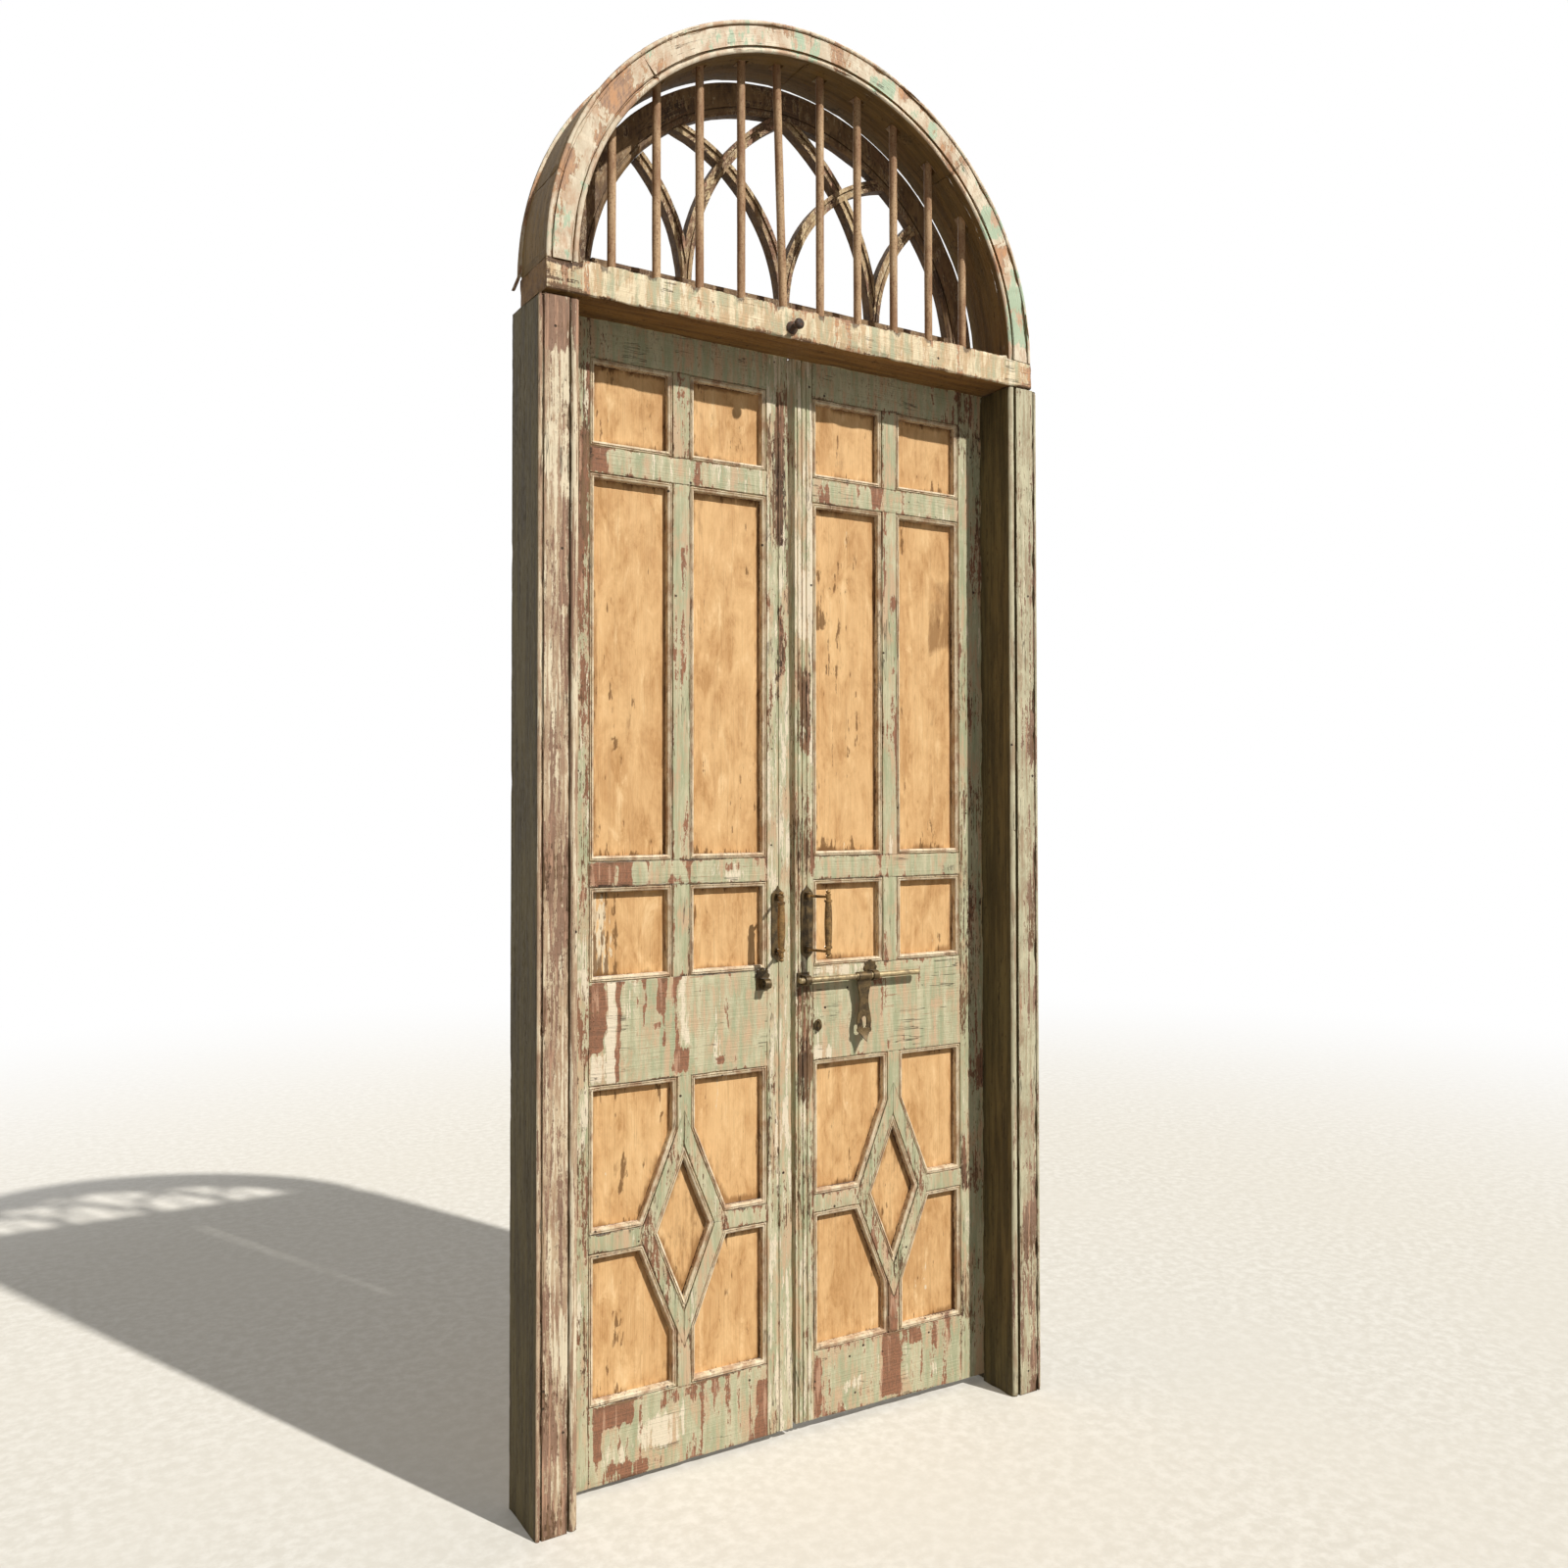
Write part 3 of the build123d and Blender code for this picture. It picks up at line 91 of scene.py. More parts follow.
# The notches broken in the transom's top arris, one for each bar, in millimetres of the front view
NOTCH_COUNT = 10
NOTCH_PITCH = 96.5
NOTCH_SHIFT = -38
NOTCH_STRAY = 7
NOTCHES = [(i - (NOTCH_COUNT - 1) / 2) * NOTCH_PITCH + NOTCH_SHIFT + NOTCH_STRAY * math.sin(3 * i)
           for i in range(NOTCH_COUNT)]
NOTCH_DEPTH = 6 * MM
NOTCH_WIDTH = 7 * MM
NOTCH_FOOT = 2.336
NOTCH_FADE = 0.02

# The hasp's curled tip, in metres
HASP_CURL_TOP = 0.846
HASP_CURL_LENGTH = 0.028
HASP_CURL = 0.011

# Dressing the timbers
SHARP = math.radians(28)
CREASE = math.radians(35)
FLAT = math.radians(0.8)
WELD = 0.01 * MM
CUT = 0.01 * MM
ARRIS_SPACING = 4 * MM
ARC_GRAIN_RADIUS = 0.55
CHIP_CELL = (0.045, 0.02, 0.02)
CHIP_LEVEL = 0.5
CHIP_GAIN = 5
DENT_CELL = (0.09, 0.03, 0.03)
HARDWARE_EASE = 0.4 * MM
NAIL_CELLS = 18
NAIL_RADIUS = 2.2 * MM

# The coats' worn places, their dirt and painted shade, counted in spreads of the shader's noise: the
# attribute holds SIGMAS of them
SIGMAS = 10.0
FIELD_GAIN = 9.0
LISTED_GAIN = 6
JITTER = 16 * MM

# Lattice noise
LATTICE_SHIFT = 17.31
HASH_X = 73856093
HASH_Y = 19349663
HASH_Z = 83492791
HASH_SEED = 2654435761
HASH_MIX = 1274126177
HASH_WORD = 0xFFFFFFFF
HASH_HALF = 0xFFFF


def srgb(red, green, blue):
    """A linear colour from 0 to 255 display values."""
    def linear(value):
        value /= 255
        return value / 12.92 if value <= 0.04045 else ((value + 0.055) / 1.055) ** 2.4
    return (linear(red), linear(green), linear(blue), 1.0)


# Colours that several materials share: paint, old wood, dirt and painted shade
MINT = srgb(172, 194, 164)
CREAM = srgb(228, 214, 184)
CREAM_DULL = srgb(206, 188, 156)
PINK = srgb(190, 148, 120)
BRICK = srgb(152, 98, 70)
BRICK_DARK = srgb(116, 74, 52)
MAUVE = srgb(146, 112, 92)
ORANGE = srgb(206, 152, 108)
OLD_WOOD = srgb(128, 98, 70)
OLD_WOOD_DARK = srgb(62, 44, 32)
OLIVE = srgb(112, 98, 62)
DIRT_AND_SHADE = srgb(68, 52, 38)

# Stripped panel wood
HONEY = srgb(226, 184, 130)
HONEY_LIGHT = srgb(240, 206, 156)
HONEY_DEEP = srgb(200, 154, 102)
HONEY_SHADE = srgb(176, 130, 78)
WATER_STAIN = srgb(142, 100, 56)
SCUFF = srgb(112, 78, 42)

# Brass and floor
TARNISH = srgb(30, 24, 16)
FLOOR_DARK = srgb(204, 199, 188)
FLOOR_LIGHT = srgb(218, 214, 205)
FLOOR_CLOUD = srgb(210, 205, 194)


# Noise for shaping and for the worn places of the coats

def lattice(points, cell, seed):
    """Smooth noise from 0 to 1 at the points, with one random value per cell corner."""
    place = points / cell + seed * LATTICE_SHIFT
    corner = np.floor(place).astype(np.int64)
    part = place - corner
    part = part * part * (3 - 2 * part)
    total = np.zeros(len(points))
    for dx in (0, 1):
        for dy in (0, 1):
            for dz in (0, 1):
                x = corner[:, 0] + dx
                y = corner[:, 1] + dy
                z = corner[:, 2] + dz
                h = (x * HASH_X) ^ (y * HASH_Y) ^ (z * HASH_Z) ^ (seed * HASH_SEED)
                h = (h ^ (h >> 13)) * HASH_MIX & HASH_WORD
                value = ((h ^ (h >> 16)) & HASH_HALF) / HASH_HALF
                wx = part[:, 0] if dx else 1 - part[:, 0]
                wy = part[:, 1] if dy else 1 - part[:, 1]
                wz = part[:, 2] if dz else 1 - part[:, 2]
                total += value * wx * wy * wz
    return total


def fractal(points, cell, seed, octaves=3):
    """Lattice noise summed over ever smaller cells, still from 0 to 1."""
    total = np.zeros(len(points))
    weight = 1.0
    whole = 0.0
    for i in range(octaves):
        total += weight * lattice(points, np.asarray(cell) / 2**i, seed + i)
        whole += weight
        weight *= 0.5
    return total / whole


def soft_box(x, z, box, edge):
    """1 inside a box of the front view, fading to 0 over an edge width."""
    x0, x1, z0, z1 = (value * MM for value in box)
    inside = np.minimum(np.minimum(x - x0, x1 - x), np.minimum(z - z0, z1 - z))
    return np.clip(0.5 + inside / edge, 0, 1)


# Meshes

def sharp_edges(bm):
    return [e for e in bm.edges if len(e.link_faces) == 2 and e.calc_face_angle(0) > SHARP]


def arris_tree(bm):
    """Points every few millimetres along the sharp edges, for measuring how near an arris is."""
    places = []
    for edge in sharp_edges(bm):
        a, b = (v.co for v in edge.verts)
        steps = max(1, int((b - a).length / ARRIS_SPACING))
        places.extend(a.lerp(b, i / steps) for i in range(steps + 1))
    tree = KDTree(max(1, len(places)))
    for i, place in enumerate(places):
        tree.insert(place, i)
    tree.balance()
    return tree


def one_solid(place):
    """All faces of a node belong to one solid, or to solids that don't touch."""
    return 0


def quadrant_about(centre):
    """Tell apart the four pieces of a diamond frame, which touch at their mitres."""
    x, z = centre
    return lambda place: (place.x > x, place.z > z)


def weld(bm, solid_of):
    """Join the faces' shared corners, one solid at a time."""
    bmesh.ops.split_edges(bm, edges=bm.edges)
    bm.normal_update()
    solids = {}
    for face in bm.faces:
        inside = face.calc_center_median() - face.normal * MM
        solids.setdefault(solid_of(inside), []).extend(face.verts)
    for corners in solids.values():
        bmesh.ops.remove_doubles(bm, verts=corners, dist=WELD)


def groove_beads(bm):
    """Scratch the fine line that runs along the middle of every bead."""
    bm.normal_update()
    crests = [f for f in bm.faces
              if f.normal.y < -0.99 and abs(f.calc_center_median().y - BEAD_FRONT) < 0.2 * MM]
    for thickness in (GROOVE_EDGE, GROOVE_SIDE):
        bmesh.ops.inset_region(bm, faces=crests, thickness=thickness * MM,
                               use_boundary=True, use_even_offset=True)
    for corner in dict.fromkeys(v for f in crests for v in f.verts):
        corner.co.y += GROOVE_DEPTH * MM


def slice_across(bm, axis, step):
    """Cut the mesh by planes square to an axis, a step apart."""
    direction = Vector((axis == "x", axis == "y", axis == "z"))
    spread = [v.co.dot(direction) for v in bm.verts]
    count = int((max(spread) - min(spread)) / step)
    for i in range(1, count + 1):
        place = direction * (min(spread) + step * i)
        geometry = bm.verts[:] + bm.edges[:] + bm.faces[:]
        bmesh.ops.bisect_plane(bm, geom=geometry, dist=CUT, plane_co=place, plane_no=direction)


def slice_round(bm, centre, step):
    """Cut the mesh by planes through an axis along Y, an angle apart."""
    angles = [math.atan2(v.co.z - centre.z, v.co.x - centre.x) for v in bm.verts]
    low = min(angles)
    for i in range(1, int((max(angles) - low) / step) + 1):
        angle = low + step * i
        across = Vector((-math.sin(angle), 0, math.cos(angle)))
        along = Vector((math.cos(angle), 0, math.sin(angle)))
        near = [f for f in bm.faces if (f.calc_center_median() - centre).dot(along) > 0]
        geometry = list(dict.fromkeys(v for f in near for v in f.verts))
        geometry += list(dict.fromkeys(e for f in near for e in f.edges)) + near
        bmesh.ops.bisect_plane(bm, geom=geometry, dist=CUT, plane_co=centre, plane_no=across)


def straight_grain(axis):
    """Coordinates with the first one along the grain of a straight timber."""
    order = {"x": (0, 1, 2), "z": (2, 1, 0)}[axis]
    return lambda points: points[:, order]


def arc_grain(centre):
    """Coordinates with the first one along the curve of a sawn felloe."""
    def straighten(points):
        x = points[:, 0] - centre.x
        z = points[:, 2] - centre.z
        along = np.arctan2(z, x) * ARC_GRAIN_RADIUS
        return np.stack([along, points[:, 1], np.hypot(x, z)], axis=1)
    return straighten


def notch_top(points):
    """Break small notches in the transom's top arris, between the bars."""
    cut = points.copy()
    high = np.clip((points[:, 2] - NOTCH_FOOT) / NOTCH_FADE, 0, 1)
    near = high * np.clip((NOTCH_FADE - points[:, 1]) / NOTCH_FADE, 0, 1)
    for x in NOTCHES:
        cut[:, 2] -= NOTCH_DEPTH * near * np.exp(-(((points[:, 0] - x * MM) / NOTCH_WIDTH) ** 2))
    return cut


def curl_tip(points):
    """Turn the hasp's tip outwards."""
    curled = points.copy()
    below = np.clip(HASP_CURL_TOP - points[:, 2], 0, None) / HASP_CURL_LENGTH
    curled[:, 1] -= HASP_CURL * below**2
    return curled


def cut_up(node, bevel, steps, solid_of, carve):
    """A copy of a CAD timber, eased and cut finely enough to be worn, and the tree of its old arrises."""
    bm = bmesh.new()
    bm.from_mesh(NODES[node].data)
    weld(bm, solid_of)
    bmesh.ops.dissolve_limit(bm, angle_limit=FLAT, verts=bm.verts, edges=bm.edges)
    bmesh.ops.connect_verts_concave(bm, faces=bm.faces)
    if carve:
        carve(bm)
    tree = arris_tree(bm)
    if bevel:
        bmesh.ops.bevel(bm, geom=sharp_edges(bm), offset=bevel * MM, segments=2, profile=0.6,
                        affect="EDGES", clamp_overlap=True)
    for axis, step in steps.items():
        if axis == "round":
            slice_round(bm, *step)
        else:
            slice_across(bm, axis, step * MM)
    bm.normal_update()
    mesh = bpy.data.meshes.new(node + "_worn")
    bm.to_mesh(mesh)
    bm.free()
    return mesh, tree


def vectors(rows, name):
    """A vector of each vertex or face of a mesh, such as its place."""
    values = np.empty(len(rows) * 3)
    rows.foreach_get(name, values)
    return values.reshape(-1, 3)


def place_piece(node, mesh):
    """Put a worn mesh in the scene in its CAD timber's stead."""
    piece = bpy.data.objects.new(node + "_worn", mesh)
    bpy.context.scene.collection.objects.link(piece)
    weighted = piece.modifiers.new("normals", "WEIGHTED_NORMAL")
    weighted.keep_sharp = True
    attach(piece, BODY_OF[node])
    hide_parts(node)


def dress(node, materials, grain, steps, seed, coats=None, bevel=1.2, chip=1.6, dent=0.35, shrink=0.0,
          edge_reach=5, solid_of=one_solid, carve=None, shape=None, pick_material=None):
    """Replace a CAD timber by a worn copy: eased and chipped arrises, dents, and its coats' worn places.

    bevel, chip, dent, shrink and edge_reach are in millimetres, and so are the steps but the round one.
    """
    mesh, tree = cut_up(node, bevel, steps, solid_of, carve)
    points = vectors(mesh.vertices, "co")
    normals = vectors(mesh.vertices, "normal")
    distance = np.array([tree.find(p)[2] for p in points])
    arris = np.exp(-((distance / (edge_reach * MM)) ** 2))
    along = grain(points)
    chips = np.clip(fractal(along, CHIP_CELL, seed + 3) - CHIP_LEVEL, 0, 1) * CHIP_GAIN
    dents = fractal(along, DENT_CELL, seed + 7) - 0.5
    push = -chip * MM * arris * np.clip(chips, 0, 1) + dent * MM * dents * 2 - shrink * MM
    points = points + normals * push[:, None]
    if shape:
        points = shape(points)
    mesh.vertices.foreach_set("co", points.ravel())

    coat = coats(points, normals, arris) if coats else np.zeros((len(points), 4))
    attribute = mesh.color_attributes.new("coat", "FLOAT_COLOR", "POINT")
    attribute.data.foreach_set("color", np.clip(coat / SIGMAS + 0.5, 0, 1).ravel())
    grain_attribute = mesh.attributes.new("grain", "FLOAT_VECTOR", "POINT")
    grain_attribute.data.foreach_set("vector", along.ravel())

    for material in materials:
        mesh.materials.append(material)
    if pick_material:
        chosen = pick_material(vectors(mesh.polygons, "center"))
        mesh.polygons.foreach_set("material_index", chosen.astype(np.int32))
    mesh.polygons.foreach_set("use_smooth", np.ones(len(mesh.polygons), bool))
    mesh.set_sharp_from_angle(angle=CREASE)
    mesh.update()
    place_piece(node, mesh)


# Shaders

class Shader:
    """A node material built step by step from object coordinates."""

    def __init__(self, name):
        self.material = bpy.data.materials.new(name)
        self.material.use_nodes = True
        self.tree = self.material.node_tree
        self.surface = self.tree.nodes["Principled BSDF"]
        self.coords = self.node("ShaderNodeTexCoord").outputs["Object"]

    def node(self, kind, **settings):
        made = self.tree.nodes.new(kind)
        for key, value in settings.items():
            setattr(made, key, value)
        return made

    def put(self, socket, value):
        if isinstance(value, bpy.types.NodeSocket):
            self.tree.links.new(value, socket)
        else:
            socket.default_value = value

    def stretched(self, scale, vector=None):
        mapping = self.node("ShaderNodeMapping")
        self.put(mapping.inputs["Vector"], vector or self.coords)
        mapping.inputs["Scale"].default_value = scale
        return mapping.outputs["Vector"]

    def noise(self, scale, vector=None, detail=4.0, rough=0.6, distortion=0.0):
        texture = self.node("ShaderNodeTexNoise")
        stretch = scale if isinstance(scale, tuple) else (scale, scale, scale)
        self.put(texture.inputs["Vector"], self.stretched(stretch, vector))
        texture.inputs["Scale"].default_value = 1.0
        texture.inputs["Detail"].default_value = detail
        texture.inputs["Roughness"].default_value = rough
        texture.inputs["Distortion"].default_value = distortion
        return texture.outputs["Fac"]

    def math(self, operation, a, b=0.0):
        made = self.node("ShaderNodeMath", operation=operation)
        self.put(made.inputs[0], a)
        self.put(made.inputs[1], b)
        return made.outputs[0]

    def ramp(self, value, low, high, to_low=0.0, to_high=1.0):
        made = self.node("ShaderNodeMapRange", interpolation_type="SMOOTHSTEP")
        self.put(made.inputs["Value"], value)
        made.inputs["From Min"].default_value = low
        made.inputs["From Max"].default_value = high
        made.inputs["To Min"].default_value = to_low
        made.inputs["To Max"].default_value = to_high
        return made.outputs["Result"]

    def mix(self, factor, a, b):
        made = self.node("ShaderNodeMix", data_type="RGBA")
        self.put(made.inputs["Factor"], factor)
        self.put(made.inputs["A"], a)
        self.put(made.inputs["B"], b)
        return made.outputs["Result"]

    def attribute(self, name):
        return self.node("ShaderNodeAttribute", attribute_name=name)

    def channels(self, name):
        """The four signed channels of a colour attribute that was stored around a half."""
        found = self.attribute(name)
        split = self.node("ShaderNodeSeparateColor")
        self.put(split.inputs[0], found.outputs["Color"])
        parts = [split.outputs[0], split.outputs[1], split.outputs[2], found.outputs["Alpha"]]
        return [self.math("MULTIPLY", self.math("SUBTRACT", part, 0.5), SIGMAS) for part in parts]

    def total(self, *terms):
        """A sum of sockets, each with its weight."""
        sum_so_far = 0.0
        for socket, weight in terms:
            made = self.node("ShaderNodeMath", operation="MULTIPLY_ADD")
            self.put(made.inputs[0], socket)
            made.inputs[1].default_value = weight
            self.put(made.inputs[2], sum_so_far)
            sum_so_far = made.outputs[0]
        return sum_so_far

    def mask(self, low, high, most, *terms):
        """A mask that rises from 0 to its most where a weighted sum goes from low to high."""
        return self.ramp(self.total(*terms), low, high, 0, most)

    def field(self, scale, vector=None, detail=4.0, rough=0.6, distortion=0.0):
        """Noise centred on nought with a spread of about one."""
        centred = self.math("SUBTRACT", self.noise(scale, vector, detail, rough, distortion), 0.5)
        return self.math("MULTIPLY", centred, FIELD_GAIN)

    def holes(self, cells, radius):
        """Sparse small round holes, where a cell's centre happens to lie at the surface."""
        dots = self.node("ShaderNodeTexVoronoi")
        self.put(dots.inputs["Vector"], self.coords)
        dots.inputs["Scale"].default_value = cells
        return self.ramp(dots.outputs["Distance"], radius * cells, 1.5 * radius * cells, 1, 0)

    def bump(self, height, distance, strength):
        made = self.node("ShaderNodeBump")
        made.inputs["Strength"].default_value = strength
        made.inputs["Distance"].default_value = distance
        self.put(made.inputs["Height"], height)
        return made.outputs["Normal"]

    def finish(self, colour, roughness, normal, metallic=0.0, specular=0.35):
        self.put(self.surface.inputs["Base Color"], colour)
        self.put(self.surface.inputs["Roughness"], roughness)
        self.put(self.surface.inputs["Normal"], normal)
        self.surface.inputs["Metallic"].default_value = metallic
        self.surface.inputs["Specular IOR Level"].default_value = specular
        return self.material


def timber_fields(shader, streak):
    """The noise fields that all coats of a painted timber share."""
    grain = shader.attribute("grain").outputs["Vector"]
    return SimpleNamespace(
        patches=shader.field((11, 11, 5), detail=5, rough=0.62, distortion=0.3),
        streaks=shader.field(streak, detail=5, rough=0.62),
        other_streaks=shader.field(tuple(1.31 * s for s in streak), shader.stretched((-1, 1, 1)),
                                   detail=5, rough=0.6),
        flecks=shader.field((210, 210, 60), detail=4, rough=0.68),
        blotches=shader.field((18, 18, 10), detail=6, rough=0.72, distortion=0.6),
        fine=shader.field((520, 520, 260), detail=2, rough=0.6),
        scratches=shader.field((6, 150, 150), grain, detail=4, rough=0.72),
        fibres=shader.field((8, 330, 330), grain, detail=3, rough=0.65),
        tone=shader.field((5, 60, 60), grain, detail=3, rough=0.6),
        seams=shader.field((1.8, 30, 30), grain, detail=4, rough=0.6),
    )


def top_coat(shader, f, top, top_light, stain, scraped_to, banding):
    """The top coat in pale and dull streaks, scratched and speckled down to a redder one."""
    pale = shader.ramp(shader.total((f.streaks, 0.7), (f.blotches, 0.5)), *banding)
    colour = shader.mix(pale, top, top_light)
    dull = shader.mask(-0.4, 1.1, 0.85, (f.other_streaks, 0.65), (f.blotches, -0.65), (f.flecks, 0.1))
    colour = shader.mix(dull, colour, stain)
    scraped = shader.mask(1.3, 1.8, 0.6, (f.scratches, 0.9), (f.blotches, 0.5))
    colour = shader.mix(scraped, colour, scraped_to)
    specks = shader.mask(0.9, 1.8, 0.4, (f.flecks, 0.8), (f.blotches, 0.4), (f.fibres, 0.3))
    return shader.mix(specks, colour, scraped_to)


def undercoat(shader, f, colours):
    """The coat that shows where the top one has flaked off: dark, plain and pink."""
    dark, plain, pink = colours
    colour = shader.mix(shader.mask(-1.0, 1.0, 1.0, (f.flecks, 0.7), (f.fibres, 0.5)), dark, plain)
    return shader.mix(shader.mask(0.3, 1.1, 0.8, (f.other_streaks, 0.9)), colour, pink)


def reveal_wood_and_shade(shader, f, colours):
    """Old wood and thin paint on the faces that look sideways, darkened as painted shade."""
    dark, light, streaked = colours
    colour = shader.mix(shader.mask(-1.2, 1.2, 1.0, (f.tone, 0.8), (f.fibres, 0.5)), dark, light)
    return shader.mix(shader.mask(0.6, 1.0, 0.7, (f.streaks, 0.5), (f.flecks, 0.5)), colour, streaked)


def painted_timber(name, top, top_light, stain, splash, under, streak=(58, 58, 5), banding=(-0.9, 1.1),
                   worn=1.15, splashed=1.5, bare=2.9, reveal=None):
    """Flaked and rubbed coats: a top coat, thin pale edges, a red-brown undercoat, old wood, dirt and
    painted shade.

    worn, splashed and bare are the levels at which the undercoat, the splashes and the wood show.
    """
    shader = Shader(name)
    f = timber_fields(shader, streak)
    show_under, show_splash, show_wood, grime_and_shade = shader.channels("coat")

    colour = top_coat(shader, f, top, top_light, stain, under[1], banding)
    splash_mask = shader.mask(splashed - 0.25, splashed + 0.25, 0.85, (f.other_streaks, -0.8),
                              (f.patches, 0.35), (f.flecks, 0.3), (show_splash, 1.0))
    colour = shader.mix(splash_mask, colour, splash)

    wear = shader.total((f.patches, -0.5), (f.streaks, 0.7), (f.flecks, 0.28), (f.fine, 0.10),
                        (show_under, 1.0))
    pale_edge = shader.ramp(wear, worn - 0.22, worn - 0.08, 0, 0.55)
    colour = shader.mix(pale_edge, colour, CREAM_DULL)
    under_mask = shader.ramp(wear, worn - 0.08, worn + 0.22, 0, 0.92)
    colour = shader.mix(under_mask, colour, undercoat(shader, f, under))

    wood_mask = shader.mask(bare - 0.9, bare - 0.6, 1.0, (f.streaks, -0.4), (f.fibres, 0.5),
                            (f.flecks, 0.3), (wear, 0.5), (show_wood, 1.0))
    wood_tone = shader.mask(-1.2, 1.2, 1.0, (f.fibres, 0.6), (f.tone, 0.7))
    colour = shader.mix(wood_mask, colour, shader.mix(wood_tone, OLD_WOOD_DARK, OLD_WOOD))

    seam = shader.ramp(shader.math("ABSOLUTE", f.seams), 0.015, 0.07, 1, 0)
    cracks = shader.math("MULTIPLY", seam, shader.ramp(f.patches, 0.35, 0.9))
    # Dirt, and painted shade where the grime channel carries it: in the beads' sunk parts, on the top
    # rails and in the transom's notches
    soiled_and_shaded = shader.mask(0.85, 2.2, 0.7, (f.flecks, 0.45), (f.fibres, 0.15), (f.fine, 0.25),
                         (f.streaks, 0.3), (grime_and_shade, 1.0))
    dirt_and_shade = shader.math("MAXIMUM", soiled_and_shaded, shader.math("MULTIPLY", cracks, 0.7))
    colour = shader.mix(dirt_and_shade, colour, DIRT_AND_SHADE)
    nail_holes = shader.holes(NAIL_CELLS, NAIL_RADIUS)
    colour = shader.mix(nail_holes, colour, DIRT_AND_SHADE)

    # Faces that look sideways take the reveal colours: old wood and thin paint, darkened as painted shade
    if reveal:
        split = shader.node("ShaderNodeSeparateXYZ")
        shader.put(split.inputs[0], shader.node("ShaderNodeTexCoord").outputs["Normal"])
        sideways = shader.ramp(shader.math("ABSOLUTE", split.outputs["Y"]), 0.35, 0.65, 1, 0)
        colour = shader.mix(sideways, colour, reveal_wood_and_shade(shader, f, reveal))

    height = shader.total((under_mask, -0.6), (wood_mask, -0.5), (splash_mask, 0.3), (f.fibres, 0.22),
                          (f.flecks, 0.10), (cracks, -2.0), (f.fine, 0.06), (nail_holes, -3.0))
    normal = shader.bump(height, 0.7 * MM, 0.9)
    roughness = shader.ramp(shader.total((f.flecks, 0.5), (under_mask, 0.6)), -1.0, 1.5, 0.55, 0.86)
    return shader.finish(colour, roughness, normal)


def bare_panel():
    """Stripped honey-coloured panel wood, clouded, with pale rubs, stains, scuffs and dark spots, and
    painted shade along its edges.
    """
    shader = Shader("stripped_panel")
    grain = shader.attribute("grain").outputs["Vector"]
    scuffed, pale, stained, dark = shader.channels("coat")
    clouds = shader.field((13, 13, 6), detail=6, rough=0.7, distortion=0.5)
    smudges = shader.field((32, 32, 12), detail=6, rough=0.72, distortion=0.6)
    smears = shader.field((85, 85, 16), detail=5, rough=0.64)
    streaks = shader.field((42, 42, 3.2), detail=5, rough=0.62)
    fibres = shader.field((7, 430, 430), grain, detail=3, rough=0.65)
    flecks = shader.field((170, 170, 40), detail=4, rough=0.66)

    warm = shader.mask(-1.1, 0.9, 1.0, (clouds, 0.6), (smudges, 0.4), (streaks, 0.15))
    light = shader.mask(0.3, 1.4, 0.6, (smudges, 0.6), (streaks, 0.35))
    shaded = shader.mask(0.35, 1.5, 0.6, (smudges, -0.6), (clouds, -0.4), (flecks, 0.35))
    lines = shader.ramp(fibres, 0.4, 2.0, 0, 0.22)
    rubs = shader.mask(1.7, 2.0, 0.8, (streaks, 0.8), (flecks, 0.4), (pale, 1.0))
    stains = shader.mask(0.7, 2.6, 0.8, (clouds, 0.7), (streaks, -0.4), (flecks, 0.25), (stained, 1.0))
    scuffs = shader.mask(1.45, 2.1, 0.85, (smears, 0.9), (flecks, 0.25), (scuffed, 1.0))
    # Dark flecks, with more of them along the panel's edges against the bead as painted shade, which the
    # dark channel carries
    marks_and_shade = shader.mask(2.0, 2.6, 0.85, (flecks, 0.8), (fibres, 0.4), (dark, 1.0))
    colour = HONEY_DEEP
    for mask, over in ((warm, HONEY), (light, HONEY_LIGHT), (shaded, HONEY_SHADE), (lines, SCUFF),
                       (rubs, CREAM), (stains, WATER_STAIN), (scuffs, SCUFF), (marks_and_shade, DIRT_AND_SHADE)):
        colour = shader.mix(mask, colour, over)

    height = shader.total((fibres, 0.3), (streaks, 0.12), (flecks, 0.1), (scuffs, -0.6), (marks_and_shade, -0.8))
    normal = shader.bump(height, 0.5 * MM, 0.9)
    roughness = shader.ramp(shader.total((streaks, 0.6), (scuffs, 1.0)), -1, 1.5, 0.6, 0.85)
    return shader.finish(colour, roughness, normal, specular=0.3)


def aged_brass(name, dark, light, rubbed):
    """Dark patinated brass, rubbed bright in spots."""
    shader = Shader(name)
    clouds = shader.noise(60, detail=4, rough=0.6)
    flecks = shader.noise(420, detail=3, rough=0.7)
    colour = shader.mix(shader.ramp(clouds, 0.35, 0.65), dark, light)
    colour = shader.mix(shader.ramp(flecks, 0.56, 0.72, 0, 0.6), colour, rubbed)
    colour = shader.mix(shader.ramp(flecks, 0.42, 0.28, 0, 0.7), colour, TARNISH)
    height = shader.math("ADD", clouds, shader.math("MULTIPLY", flecks, 0.4))
    normal = shader.bump(height, 0.3 * MM, 0.6)
    roughness = shader.ramp(flecks, 0.3, 0.7, 0.32, 0.62)
    return shader.finish(colour, roughness, normal, metallic=0.5, specular=0.5)


